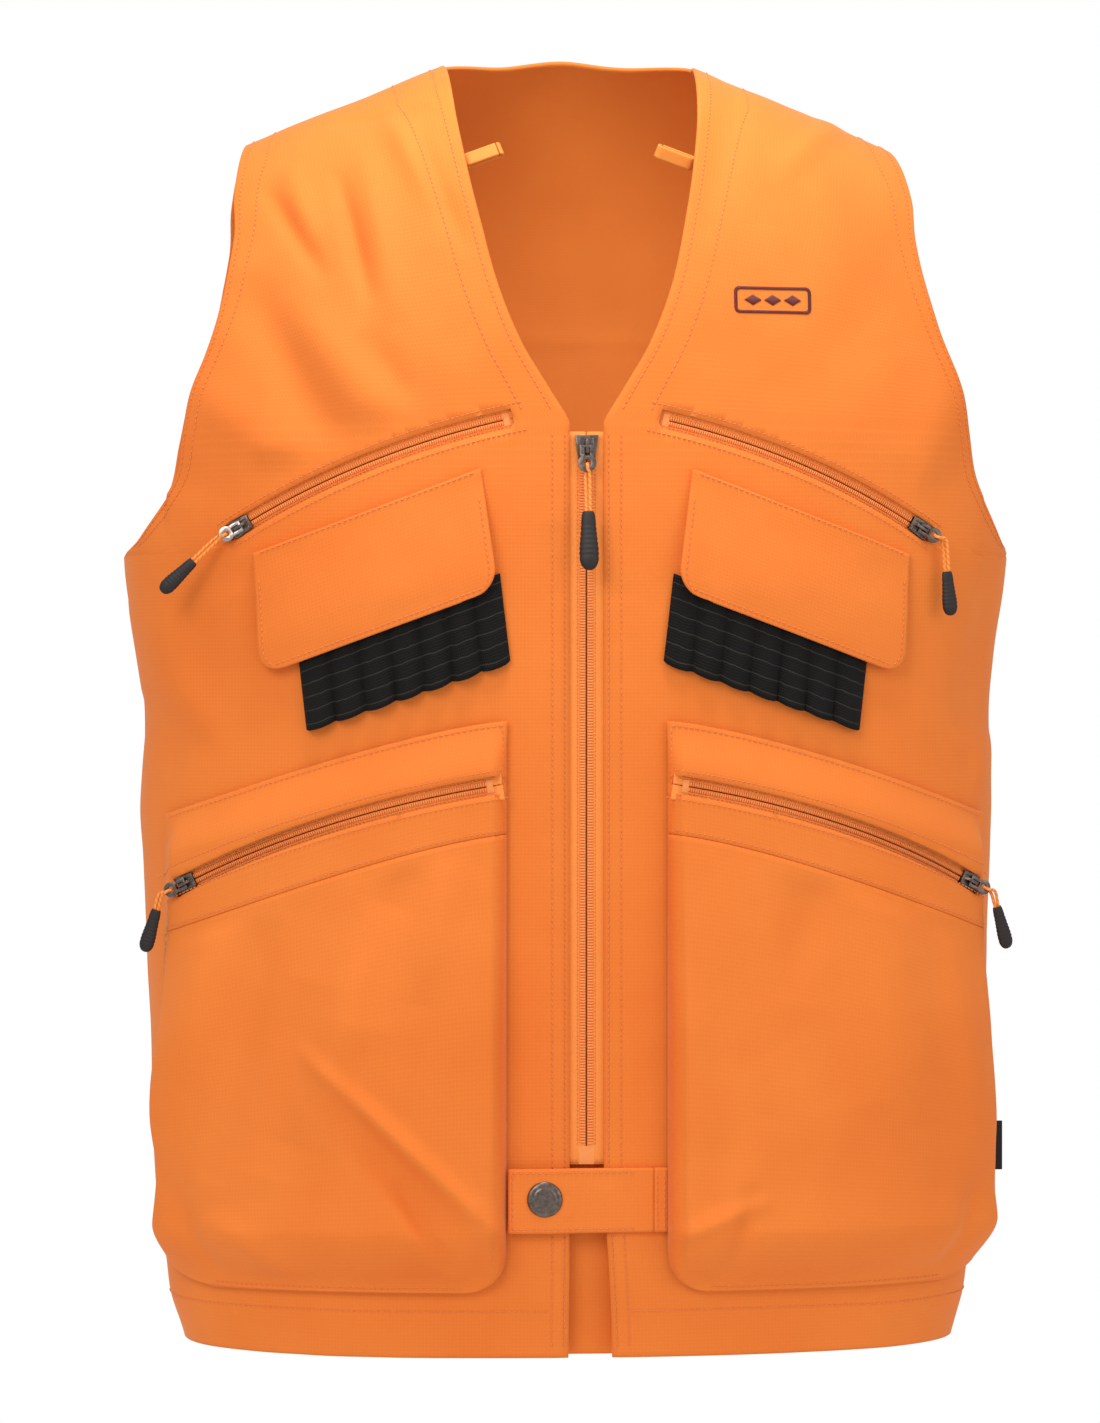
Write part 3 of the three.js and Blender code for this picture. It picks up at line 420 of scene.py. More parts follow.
def elasticMaterial():  # covered rubber webbing: black, matt, with a pale thread across it every 7 mm
    made, tree, shader = startMaterial("ribbed_elastic_webbing", "#1B1814", Roughness=0.8)
    shader.inputs["Specular IOR Level"].default_value = 0.25
    uv = addNode(tree, "TexCoord").outputs["UV"]
    wobble = addNode(tree, "TexNoise", {"Vector": uv, "Scale": 160, "Detail": 2})
    parts = addNode(tree, "SeparateXYZ", {"Vector": uv})
    line = addNode(tree, "Math", {0: wobble, 1: 1.6 * mm, 2: parts.outputs["Y"]}, operation="MULTIPLY_ADD")
    across = addNode(tree, "CombineXYZ", {"X": parts.outputs["X"], "Y": line})
    pale = addNode(tree, "TexWave", {"Vector": across, "Scale": waveScale(7)}, bands_direction="Y")
    pale = addNode(tree, "Math", {0: pale.outputs["Fac"], 1: 60.0}, operation="POWER")
    ribs = addNode(tree, "TexWave", {"Vector": across, "Scale": waveScale(1.4)}, bands_direction="Y")
    cords = addNode(tree, "TexWave", {"Vector": uv, "Scale": waveScale(1.1)}, bands_direction="X")
    height = addNode(tree, "Math", {0: ribs.outputs["Fac"], 1: 1.0, 2: cords.outputs["Fac"]}, operation="MULTIPLY_ADD")
    colour = addNode(tree, "ValToRGB", {"Fac": pale}, stops=[(0.0, "#0C0A08"), (0.3, "#14110E"), (1.0, "#3A352E")])
    dressShader(tree, shader, colour, height, 0.6, 0.3)
    return made


def solidMaterial(name, light, dark, scale, relief, roughRange=None, **settings):
    made, tree, shader = startMaterial(name, light, **settings)
    place = addNode(tree, "TexCoord").outputs["Object"]
    grain = addNode(tree, "TexNoise", {"Vector": place, "Scale": scale, "Detail": 5, "Roughness": 0.6})
    colour = addNode(tree, "ValToRGB", {"Fac": grain}, stops=[(0.3, dark), (0.7, light)])
    dressShader(tree, shader, colour, grain, relief, 0.1)
    if roughRange:
        rough = addNode(tree, "MapRange", {"Value": grain, "To Min": roughRange[0], "To Max": roughRange[1]})
        tree.links.new(rough.outputs[0], shader.inputs["Roughness"])
    return made


def braidMaterial(name, light, dark, pitch, roughness):  # twisted or braided yarn, its strands slanting round it
    made, tree, shader = startMaterial(name, light, Roughness=roughness, Sheen_Weight=0.2)
    uv = addNode(tree, "TexCoord").outputs["UV"]
    strand = addNode(tree, "TexWave", {"Vector": uv, "Scale": waveScale(pitch)}, bands_direction="DIAGONAL")
    colour = addNode(tree, "ValToRGB", {"Fac": strand.outputs["Fac"]}, stops=[(0.1, dark), (0.6, light)])
    dressShader(tree, shader, colour, strand.outputs["Fac"], 0.7, 0.15)
    return made


elastic = elasticMaterial()
# Nylon monofilament coil: dyed through, smooth and a little glossy; its orange is painted lighter than the cloth's,
# painted light against the shade of the sunk zip windows.
coilNylon = solidMaterial("nylon_coil_painted_light", "#FFA257", "#FB9448", 900, 0.1, Roughness=0.42)
# Die-cast zinc plated black nickel: dark, satin, rubbed lighter in places.
gunmetal = solidMaterial("black_nickel_zinc", "#857870", "#5C514B", 420, 0.25, (0.24, 0.46), Metallic=1.0)
# Die-cast zinc in bright nickel with a satin tumble finish.
nickel = solidMaterial("satin_nickel_zinc", "#C9C0B8", "#A79D94", 500, 0.2, (0.2, 0.4), Metallic=1.0)
# Soft moulded rubber: nearly black brown, fine spark texture, low gloss.
rubber = solidMaterial("moulded_soft_rubber", "#221916", "#140F0D", 2600, 0.5, (0.5, 0.7))
# Woven satin label tape, black and blank.
labelSatin = clothMaterial("black_label_satin", "#221E1D", "#171413", 0.7, 0.1, 0.5, 0.5)
# Braided polyester cord, smooth and brighter than the cloth.
cordBraid = braidMaterial("braided_polyester_cord", "#FF9C38", "#E97A20", 1.5, 0.55)
# Spun polyester sewing thread in the cloth's colour.
sewingThread = braidMaterial("polyester_sewing_thread", "#FC9040", "#EE7C2E", 0.6, 0.6)
# Rayon embroidery thread, dark brown red with a silky gloss.
embroidery = braidMaterial("rayon_embroidery_thread", "#7A1408", "#520B04", 0.5, 0.38)
print("materials made")


# ---- meshes from code
def finishPiece(name, mesh, material, bodyName, replaced=()):
    made = bpy.data.objects.new(name, mesh)
    bpy.context.scene.collection.objects.link(made)
    for each in material if isinstance(material, (list, tuple)) else [material]:
        mesh.materials.append(each)
    if replaced:
        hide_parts(*replaced)
    if bodyName:
        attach(made, bodyName)
    return made


def meshOf(name, points, faces, uv=None, inside=None):
    mesh = bpy.data.meshes.new(name)
    metres = (np.asarray(points, float) - [0, 0, neckHeight]) * mm
    mesh.from_pydata(metres.tolist(), [], faces)
    mesh.polygons.foreach_set("use_smooth", np.ones(len(mesh.polygons), bool))
    if uv is not None:
        corner = np.empty(len(mesh.loops), int)
        mesh.loops.foreach_get("vertex_index", corner)
        metresAcross = (np.asarray(uv) * mm)[corner].astype(np.float32)
        mesh.uv_layers.new(name="grain").data.foreach_set("uv", metresAcross.ravel())
    if inside is not None:
        mesh.polygons.foreach_set("material_index", np.asarray(inside, np.int32))
    mesh.update()
    return mesh


# a closed sheet with a rolled edge, made from a grid of its outer face
def clothSheet(name, outer, thick, material, bodyName, replaced, keep=None,
               roll=0.35, normals=None):
    rows, columns = outer.shape[:2]
    if normals is None:
        normals = gridNormals(outer)
    away = outer - np.stack([0 * outer[..., 0], 0 * outer[..., 0], np.minimum(outer[..., 2], 450)], -1)
    if (normals * away).sum() < 0:
        normals = -normals
    facing = np.cross(np.gradient(outer, axis=1), np.gradient(outer, axis=0))
    flip = (facing * normals).sum() < 0
    inner = outer - normals * thick
    grid = np.arange(rows * columns).reshape(rows, columns)
    keep = np.ones((rows - 1, columns - 1), bool) if keep is None else keep
    a, b, c, d = grid[:-1, :-1], grid[:-1, 1:], grid[1:, 1:], grid[1:, :-1]
    if flip:
        b, d = d, b
    quads = np.stack([a, b, c, d], -1)
    padded = np.pad(keep, 1)
    quadRow, quadColumn = np.mgrid[0:rows - 1, 0:columns - 1]
    # the neighbour across each of a quad's four edges, in the order of its corners
    neighbours = [(0, -1), (1, 0), (0, 1), (-1, 0)] if flip else [(-1, 0), (0, 1), (1, 0), (0, -1)]
    edges = []
    for k, (dr, dc) in enumerate(neighbours):
        bare = keep & ~padded[quadRow + 1 + dr, quadColumn + 1 + dc]
        edges.append(np.stack([quads[..., k][bare], quads[..., (k + 1) % 4][bare]], -1))
    edges = np.concatenate(edges)
    layer = rows * columns
    flatOuter, flatInner, flatNormal = (v.reshape(-1, 3) for v in (outer, inner, normals))
    outward = np.zeros((layer, 3))
    push = unit(np.cross(flatOuter[edges[:, 1]] - flatOuter[edges[:, 0]], flatNormal[edges[:, 0]]))
    np.add.at(outward, edges[:, 0], push)
    np.add.at(outward, edges[:, 1], push)
    rim = np.unique(edges)
    middle = np.full(layer, -1)
    middle[rim] = 2 * layer + np.arange(len(rim))
    middlePoints = (flatOuter[rim] + flatInner[rim]) / 2 + unit(outward[rim]) * roll
    points = np.concatenate([flatOuter, flatInner, middlePoints])
    front = quads[keep]
    behind = front[:, ::-1] + layer
    p, q = edges.T
    upper = np.stack([q, p, middle[p], middle[q]], -1)
    lower = np.stack([middle[q], middle[p], p + layer, q + layer], -1)
    faces = np.concatenate([front, behind, upper, lower])
    used = np.unique(faces)
    renumber = np.full(len(points), -1)
    renumber[used] = np.arange(len(used))
    u = np.concatenate([np.zeros((rows, 1)), np.cumsum(np.linalg.norm(np.diff(outer, axis=1), axis=-1), axis=1)], 1)
    rowSteps = np.linalg.norm(np.diff(outer, axis=0), axis=-1)
    v = np.concatenate([[0], np.cumsum(rowSteps.min(1))])
    uv = np.stack([u, np.broadcast_to(v[:, None], u.shape)], -1).reshape(-1, 2)
    uv = np.concatenate([uv, uv, uv[rim]])
    inside = np.zeros(len(faces), int)
    both = isinstance(material, (list, tuple))
    inside[len(front):len(front) + len(behind)] = 1 if both else 0
    mesh = meshOf(name, points[used], renumber[faces].tolist(), uv[used], inside if both else None)
    made = finishPiece(name, mesh, material, bodyName, replaced)
    return made


windowEnds = dict(before=1.8, past=2, reach=30)  # past the last tooth, past the slider, and how deep it cuts


def cutWindow(outer, track):  # opens a window along a pocket's zip and draws the cloth's edge onto it
    long, halfWide = track["length"], pocketZip["window"]
    start, end = -windowEnds["before"] / long, 1 + (pocketZip["halfLength"] + windowEnds["past"]) / long
    s = track["shareOf"](outer)
    origin, along, across, out = track["frameAt"](s)
    offset = outer - origin
    w = (offset * across).sum(-1)
    near = np.abs((offset * out).sum(-1)) < windowEnds["reach"]
    inWindow = near & (np.abs(w) < halfWide) & (s > start) & (s < end)
    centre = lambda f: (f[:-1, :-1] + f[1:, :-1] + f[1:, 1:] + f[:-1, 1:]) / 4
    gone = centre(inWindow.astype(float)) >= 0.5
    touched = np.zeros(inWindow.shape)
    kept = np.zeros(inWindow.shape)
    for dr in (0, 1):
        for dc in (0, 1):
            touched[dr:dr + gone.shape[0], dc:dc + gone.shape[1]] += gone
            kept[dr:dr + gone.shape[0], dc:dc + gone.shape[1]] += ~gone
    edge = (touched > 0) & (kept > 0)
    toSide = np.abs(np.abs(w) - halfWide)
    toStart, toEnd = np.abs(s - start) * long, np.abs(s - end) * long
    sideways = edge & (toSide <= np.minimum(toStart, toEnd) + 0.6)
    endways = edge & ~sideways
    outer = outer + (across * (np.sign(w) * halfWide - w)[..., None]) * sideways[..., None]
    goal = np.where(toStart < toEnd, start, end)
    outer = outer + along * ((goal - s) * long)[..., None] * endways[..., None]
    return outer, ~gone


def tubeMesh(name, path, radius, ringSides=10):  # a closed round tube along points, its grain running along it
    path = np.asarray(path, float)
    tangent = unit(np.gradient(path, axis=0))
    side = unit(np.cross(tangent[0], [0.3, 0.2, 0.9]))
    turns = np.linspace(0, 2 * np.pi, ringSides + 1)
    rings = []
    for t, p in zip(tangent, path):
        side = unit(side - t * (side @ t))
        up = np.cross(t, side)
        rings.append(p + radius * (np.cos(turns)[:, None] * side + np.sin(turns)[:, None] * up))
    long = np.concatenate([[0], np.cumsum(np.linalg.norm(np.diff(path, axis=0), axis=1))])
    points = np.concatenate([r[:-1] for r in rings] + [path[[0]], path[[-1]]])
    n, last = len(path), len(path) * ringSides
    faces = [[j * ringSides + i, j * ringSides + (i + 1) % ringSides, (j + 1) * ringSides + (i + 1) % ringSides,
              (j + 1) * ringSides + i] for j in range(n - 1) for i in range(ringSides)]
    faces += [[last, (i + 1) % ringSides, i] for i in range(ringSides)]
    faces += [[last + 1, (n - 1) * ringSides + i, (n - 1) * ringSides + (i + 1) % ringSides] for i in range(ringSides)]
    uv = [(long[j], radius * turns[i]) for j in range(n) for i in range(ringSides)] + [(0, 0), (long[-1], 0)]
    return meshOf(name, points, faces, uv), long[-1]


def smoothPath(points, steps=8):  # a Catmull-Rom line through the points
    points = np.asarray(points, float)
    ends = np.concatenate([[2 * points[0] - points[1]], points, [2 * points[-1] - points[-2]]])
    line = []
    for a, b, c, d in zip(ends, ends[1:], ends[2:], ends[3:]):
        for t in np.arange(steps) / steps:
            square, cube = 2 * a - 5 * b + 4 * c - d, 3 * b - a - 3 * c + d
            line.append(0.5 * (2 * b + (c - a) * t + square * t**2 + cube * t**3))
    return np.array(line + [points[-1]])


def stitchMesh(name, starts, ends, normals, width, material, bodyName):  # one small arched bead a stitch
    starts, ends, normals = (np.asarray(v, float) for v in (starts, ends, normals))
    side = unit(np.cross(ends - starts, normals)) * width / 2
    rise = normals * width * 0.55
    points = []
    for share in (0.2, 0.8):
        middle = mix(starts, ends, share) + normals * width * 0.15
        points += [middle + side, middle + rise, middle - side, middle - rise * 0.6]
    points = np.stack(points + [starts - normals * width * 0.2, ends - normals * width * 0.2], 1)
    shape = [[i, (i + 1) % 4, 4 + (i + 1) % 4, 4 + i] for i in range(4)]
    tips = [[8, (i + 1) % 4, i] for i in range(4)] + [[9, 4 + i, 4 + (i + 1) % 4] for i in range(4)]
    first = np.arange(len(starts)) * 10
    faces = [[k + i for i in face] for k in first.tolist() for face in shape + tips]
    long = np.linalg.norm(ends - starts, axis=1)[:, None]
    along = np.concatenate([long * 0.2] * 4 + [long * 0.8] * 4 + [long * 0, long], 1)
    around = np.broadcast_to(np.array([0, 1, 2, 3, 0, 1, 2, 3, 0, 0]) * width * 0.8, along.shape)
    uv = np.stack([along, around], -1).reshape(-1, 2)
    mesh = meshOf(name, points.reshape(-1, 3), faces, uv)
    return finishPiece(name, mesh, material, bodyName)


def stitchesAlong(path, out, pitch=3.2, share=0.78):  # the starts, ends and normals of a line's stitches
    path, out = np.asarray(path, float), unit(np.asarray(out, float))
    long = np.concatenate([[0], np.cumsum(np.linalg.norm(np.diff(path, axis=0), axis=1))])
    count = max(1, int(long[-1] / pitch))
    begin = np.arange(count) * long[-1] / count
    at = lambda d, v: np.stack([np.interp(d, long, v[:, k]) for k in range(3)], -1)
    return at(begin, path), at(begin + share * long[-1] / count, path), unit(at(begin, out))


def joinStitches(name, lines, width, material, bodyName):
    starts, ends, normals = (np.concatenate(v) for v in zip(*lines))
    return stitchMesh(name, starts, ends, normals, width, material, bodyName)


# ---- pieces modelled by hand with operators, one unit a millimetre, then placed
def shapeFrom(operator, name, **settings):
    bpy.ops.object.select_all(action="DESELECT")
    operator(**settings)
    made = bpy.context.object
    made.name = name
    bpy.ops.object.transform_apply(location=True, rotation=True, scale=True)
    return made


def blockShape(name, x0, x1, y0, y1, z0, z1):
    return shapeFrom(bpy.ops.mesh.primitive_cube_add, name, size=1, scale=(x1 - x0, y1 - y0, z1 - z0),
                     location=((x0 + x1) / 2, (y0 + y1) / 2, (z0 + z1) / 2))


def discShape(name, radius, low, high, at=(0, 0), vertices=48):
    return shapeFrom(bpy.ops.mesh.primitive_cylinder_add, name, vertices=vertices, radius=radius, depth=high - low,
                     location=(*at, (low + high) / 2))


def editFaces(made, test, *operations):  # runs edit operators on the faces that pass a test of centre and normal
    bpy.ops.object.select_all(action="DESELECT")
    made.select_set(True)
    bpy.context.view_layer.objects.active = made
    bpy.ops.object.mode_set(mode="EDIT")
    bpy.ops.mesh.select_mode(type="FACE")
    bpy.ops.mesh.select_all(action="DESELECT")
    bpy.ops.object.mode_set(mode="OBJECT")
    for face in made.data.polygons:
        face.select = test(face.center, face.normal)
    bpy.ops.object.mode_set(mode="EDIT")
    for operator, settings in operations:
        operator(**settings)
    bpy.ops.object.mode_set(mode="OBJECT")
    return made


def applied(made, kind, **settings):
    modifier = made.modifiers.new("finish", kind)
    for name, value in settings.items():
        setattr(modifier, name, value)
    bpy.ops.object.select_all(action="DESELECT")
    made.select_set(True)
    bpy.context.view_layer.objects.active = made
    bpy.ops.object.modifier_apply(modifier=modifier.name)
    return made


def combined(made, operation, *others):
    for other in others:
        applied(made, "BOOLEAN", operation=operation, object=other, solver="EXACT")
        bpy.data.objects.remove(other)
    return made


def smoothed(made, bevel, segments=2):
    applied(made, "BEVEL", width=bevel, segments=segments, limit_method="ANGLE", angle_limit=math.radians(35))
    bpy.ops.object.shade_smooth_by_angle(angle=math.radians(40))
    return made


def spunShape(name, profile, spokes=40):  # rings extruded and resized one after another: height, radius
    made = shapeFrom(bpy.ops.mesh.primitive_circle_add, name, vertices=spokes, radius=profile[0][1],
                     fill_type="NGON", location=(0, 0, profile[0][0]))
    bpy.ops.object.mode_set(mode="EDIT")
    bpy.ops.mesh.select_all(action="SELECT")
    for (z0, r0), (z1, r1) in zip(profile, profile[1:]):
        bpy.ops.mesh.extrude_region_move(TRANSFORM_OT_translate={"value": (0, 0, z1 - z0)})
        bpy.ops.transform.resize(value=(r1 / r0, r1 / r0, 1))
    bpy.ops.mesh.select_all(action="SELECT")
    bpy.ops.mesh.normals_make_consistent(inside=False)
    bpy.ops.object.mode_set(mode="OBJECT")
    return made


toFrame = Matrix.Scale(mm, 4) @ Matrix.Translation((0, 0, -neckHeight))


def placed(model, name, matrix, material, bodyName, replaced):  # a copy with its own mesh, in place
    mesh = model.data.copy()
    mesh.name = name
    mesh.transform(toFrame @ matrix)
    mesh.materials.clear()
    return finishPiece(name, mesh, material, bodyName, replaced)


# ---- cords and the moulded grips on them, first
gripShape = dict(flatness=0.6, ribs=7, ribDepth=0.06)


def makeGrip(kind):  # a tapered rubber pull with raised ribs across it
    long, r = kind["gripLength"], kind["gripRadius"]
    outline = [[0, 0.55], [0.04, 0.64], [0.12, 0.7], [0.4, 0.84], [0.68, 0.98], [0.82, 0.95], [0.9, 0.82], [0.96, 0.6],
               [0.99, 0.34], [1, 0.05]]
    heights = np.concatenate([[0, 0.02, 0.06, 0.12], np.linspace(0.2, 0.8, 6 * gripShape["ribs"] + 1),
                              [0.85, 0.9, 0.94, 0.97, 0.99, 1]])
    radii = through(outline, heights)
    ribbed = (heights >= 0.2) & (heights <= 0.8)
    waves = np.cos((heights - 0.2) / 0.6 * 2 * np.pi * gripShape["ribs"])
    radii = np.where(ribbed, radii * (1 - gripShape["ribDepth"] * (0.5 - 0.5 * waves)), radii)
    made = spunShape("grip", [(h * long, radius * r) for h, radius in zip(heights, radii)], 32)
    editFaces(made, lambda centre, normal: True, (bpy.ops.transform.resize, dict(value=(1, gripShape["flatness"], 1))))
    editFaces(made, lambda centre, normal: normal.z < -0.9,
              (bpy.ops.mesh.inset, dict(thickness=r * 0.2)), (bpy.ops.transform.translate, dict(value=(0, 0, 0.8))))
    bpy.ops.object.shade_smooth_by_angle(angle=math.radians(50))
    return made


grips = {id(kind): makeGrip(kind) for kind in (mainZip, pocketZip)}
for name, zipMade in zips.items():
    kind = zipMade["kind"]
    droop = math.radians(zipMade["droop"])
    heading = np.array([math.cos(droop), zipMade["down"] * math.sin(droop), 0])
    beside = np.array([-heading[1], heading[0], 0])
    bend = np.array([kind["tabLength"] + 2.6, 0, 0])
    gripTop = bend + heading * (zipMade["cordRun"] - 2.6)
    r = pull["cordRadius"]
    eyeRadius = kind["tabHalf"] - kind["eye"] / 2 + 1.1
    kind["eyeRadius"], kind["eyeAt"] = eyeRadius, kind["tabLength"] - eyeRadius
    kind["holeRadius"] = kind["eye"] / 2 + 0.4
    rim = (kind["eyeAt"] + kind["holeRadius"] + kind["tabLength"]) / 2
    reach = pull["tabThick"] / 2 + r + 0.35

    def strand(way):
        return [gripTop + beside * way * (r + 0.05) + heading * pull["inGrip"],
                gripTop + beside * way * (r + 0.1) - heading * 0.3,
                bend + beside * way * (r + 0.1) + [0, 0, way * 0.7],
                [rim, 0, way * reach]]

    route = smoothPath(strand(1) + [[kind["eyeAt"] + 0.4, 0, 0]] + strand(-1)[::-1])
    matrix = np.array(zipMade["pull"])
    route = route @ matrix[:3, :3].T + matrix[:3, 3]
    gripTurn = zipMade["down"] * droop - math.pi / 2
    gripPlace = zipMade["pull"] @ Matrix.Translation(gripTop) @ Matrix.Rotation(gripTurn, 4, "Z") \
        @ Matrix.Rotation(-math.pi / 2, 4, "X")
    grip = placed(grips[id(kind)], f"{name}_moulded_grip", gripPlace, rubber, f"{name}_pull",
                  [f"{name}_grip"])
    mesh, long = tubeMesh(f"{name}_pull_cord", route, r)
    cord = finishPiece(f"{name}_pull_cord", mesh, cordBraid, f"{name}_pull", [f"{name}_cord"])
    line = (route - [0, 0, neckHeight]) * mm
print("cords and grips made")


# ---- sliders and tabs
def makeSlider(kind):
    half, mouth, tail = kind["halfLength"], kind["mouth"], kind["tail"]
    low, top = kind["footLow"], kind["plateTop"]
    narrowEnd = lambda centre, normal: normal.x * -kind["mouthSide"] > 0.9
    made = blockShape("slider", -half, half, -mouth, mouth, low, top)
    editFaces(made, narrowEnd, (bpy.ops.transform.resize, dict(value=(1, tail / mouth, 1))))
    channel = blockShape("channel", -half - 1, half + 1, -mouth + 0.9, mouth - 0.9, kind["footTop"], kind["plateLow"])
    editFaces(channel, narrowEnd, (bpy.ops.transform.resize, dict(value=(1, (tail - 0.5) / (mouth - 0.9), 1))))
    slot = blockShape("slot", -half - 1, half + 1, -mouth - 1, mouth + 1, kind["tapeLow"] - 0.4, kind["tapeTop"] + 0.4)
    combined(made, "DIFFERENCE", channel, slot)
    web = blockShape("web", -half + 0.6, half - 0.6, -kind["web"], kind["web"],
                     kind["footTop"] - 0.2, kind["plateLow"] + 0.2)
    barTop = top + 2 * pull["gap"] + pull["tabThick"]
    reach = pull["bridgeReach"]
    bridge = blockShape("bridge", -reach, reach, -pull["bridgeHalf"], pull["bridgeHalf"], top - 0.2, barTop + 1)
    editFaces(bridge, lambda centre, normal: normal.z > 0.9,
              (bpy.ops.transform.resize, dict(value=(0.8, 1, 1))))
    combined(bridge, "DIFFERENCE", blockShape("under", -reach + 1, reach - 1, -2, 2, top - 1, barTop))
    ridges = []
    for way in (-1, 1):  # the two raised rails beside the bridge
        y = way * (tail - 1.0)
        ridges.append(blockShape("ridge", -half * 0.72, half * 0.72, y - 0.5, y + 0.5, top - 0.2, top + 0.45))
    combined(made, "UNION", web, bridge, *ridges)
    return smoothed(made, 0.22)


def makeTab(kind):
    thick, reach = pull["tabThick"], pull["bridgeReach"]
    shoulder, neck = kind["tabHalf"] * 0.72, reach + 2.4
    made = blockShape("tab", -thick / 2, neck, -shoulder, shoulder, -thick / 2, thick / 2)
    editFaces(made, lambda centre, normal: True,
              (bpy.ops.mesh.bisect, dict(plane_co=(reach, 0, 0), plane_no=(1, 0, 0))))
    editFaces(made, lambda centre, normal: normal.x > 0.9,
              (bpy.ops.transform.resize, dict(value=(1, kind["waist"] / shoulder, 1))))
    eye = discShape("eye", kind["eyeRadius"], -thick / 2 - 0.001, thick / 2 + 0.001, (kind["eyeAt"], 0))
    combined(made, "UNION", eye)
    slotHalf = pull["bridgeHalf"] + 0.7
    combined(made, "DIFFERENCE",
             discShape("hole", kind["holeRadius"], -3, 3, (kind["eyeAt"], 0)),
             blockShape("slot", thick / 2, reach + 0.9, -slotHalf, slotHalf, -3, 3))
    return smoothed(made, 0.2)


models = {id(kind): (makeSlider(kind), makeTab(kind)) for kind in (mainZip, pocketZip)}
for name, zipMade in zips.items():
    sliderModel, tabModel = models[id(zipMade["kind"])]
    bright = name == "chest_zip_right"
    placed(sliderModel, f"{name}_cast_slider", zipMade["slider"], gunmetal, f"{name}_slider",
           [f"{name}_slider"])
    placed(tabModel, f"{name}_cast_tab", zipMade["pull"], nickel if bright else gunmetal, f"{name}_pull",
           [f"{name}_tab"])
for model in list(grips.values()) + [each for pair in models.values() for each in pair]:
    bpy.data.objects.remove(model)
print("sliders and tabs made")

# ---- zip tapes, coils and stops
stopRoom = 4
for name, zipMade in zips.items():
    kind, track = zipMade["kind"], zipMade["track"]
    main = name == "main_zip"
    start = 0 if main else -5 / track["length"]
    end = 1 if main else 1 + (kind["halfLength"] + 5) / track["length"]
    coilStart = 0.005 if main else stopRoom / track["length"]
    coilEnd = (mainTop - zipBottom - 10) / (mainTop - zipBottom) if main else end
    s = np.linspace(start, end, 120 if main else 60)[None, :]
    lines = []
    for way in (-1, 1):
        if main:
            label = "left" if way * track["frameAt"](0.5)[2][0] > 0 else "right"
        else:
            label = "top" if way * track["frameAt"](0.5)[2][2] > 0 else "bottom"
        head = kind["web"] + 0.1
        w = way * np.linspace(head, kind["tapeEdge"], 14)[:, None]
        weave = 0.05 * np.sin(s * track["length"] * 2 * np.pi / 2.4)
        grid = onTrack(track, np.broadcast_to(s, (14, s.shape[1])), np.broadcast_to(w, (14, s.shape[1])),
                       kind["tapeTop"] + weave + 0 * w)
        normals = np.broadcast_to(track["frameAt"](s[0])[3][None], grid.shape)
        clothSheet(f"{name}_woven_tape_{label}", grid, kind["tapeTop"] - kind["tapeLow"], zipTape, "shell",
                   [f"{name}_tape_{label}"], normals=normals, roll=0.15)
        count = int((coilEnd - coilStart) * track["length"] / kind["pitch"])
        at = coilStart + (np.arange(count) + (0.5 if way > 0 else 0)) * kind["pitch"] / track["length"]
        outerEdge = kind["chainGap"] + kind["coilWidth"]
        ring = np.linspace(0, 2 * np.pi, 6, endpoint=False) + np.pi / 6
        stations = [(head, 0.5), (head + 0.5, 1.0), (outerEdge - 0.5, 0.92), (outerEdge, 0.4)]
        points = []
        for w0, size in stations:
            for angle in ring:
                ds = math.cos(angle) * kind["pitch"] * 0.4 * size / track["length"]
                depth = kind["coilTop"] - 0.75 + math.sin(angle) * 0.75 * size
                points.append(onTrack(track, at + ds, np.full(count, way * w0), np.full(count, depth)))
        points = np.stack(points, 1)
        shape = [[j * 6 + i, j * 6 + (i + 1) % 6, (j + 1) * 6 + (i + 1) % 6, (j + 1) * 6 + i]
                 for j in range(3) for i in range(6)]
        shape += [[5, 4, 3, 2, 1, 0], [18, 19, 20, 21, 22, 23]]
        if way < 0:
            shape = [face[::-1] for face in shape]
        faces = [[k * 24 + i for i in face] for k in range(count) for face in shape]
        replaced = [f"main_zip_coil_{label}"] if main else []
        finishPiece(f"{name}_coil_teeth_{label}", meshOf(f"{name}_coil_teeth_{label}", points.reshape(-1, 3), faces),
                    coilNylon, "shell", replaced)
        seamW = way * (outerEdge + 1.0)
        run = np.linspace(coilStart, coilEnd, 80)
        path = onTrack(track, run, np.full(80, seamW), np.full(80, kind["tapeTop"] + 0.1))
        lines.append(stitchesAlong(path, track["frameAt"](run)[3], 2.2))
    joinStitches(f"{name}_tape_stitches", lines, 0.5, sewingThread, "shell")
# the zip stops and the main zip's box take the coil's material, with its painted light against the windows' shade
carried = {name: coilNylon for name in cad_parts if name.endswith("_stop") or name == "main_zip_box"}
for name, material in {**carried, "snap_socket": gunmetal, "snap_stud": gunmetal}.items():
    materials = bpy.data.objects[name].data.materials
    materials.clear()
    materials.append(material)
print("zips made")

# ---- front and back panels
panel = dict(neckHalf=70, tipHalf=178, underarmHalf=246, neckBottom=498, backNeckDrop=48, frontEdge=9.5, hemSpread=5)
neckShape = [[0, 0], [0.056, 0.2], [0.125, 0.42], [0.224, 0.62], [0.336, 0.752], [0.47, 0.868], [0.642, 0.95], [1, 1]]
armholeShape = [[0, 1], [0.027, 0.88], [0.131, 0.63], [0.22, 0.544], [0.295, 0.47], [0.42, 0.28], [0.577, 0.14],
                [0.7, 0.13], [1, 0]]
sideTurn = math.pi / 2 - (cloth["seam"] / body["halfDepth"]) ** (1 / body["power"])
topRun = body["chestHeight"] + body["ridgeRun"]
ridgeEnd = topRun - cloth["seam"] * 1.8


def armholeTurn(run):
    share = through(armholeShape, (run - body["underarm"]) / (topRun - body["underarm"]))
    edge = turnAt(mix(panel["tipHalf"], panel["underarmHalf"], share), run)
    return np.where(run <= body["underarm"], sideTurn, np.minimum(sideTurn, edge))


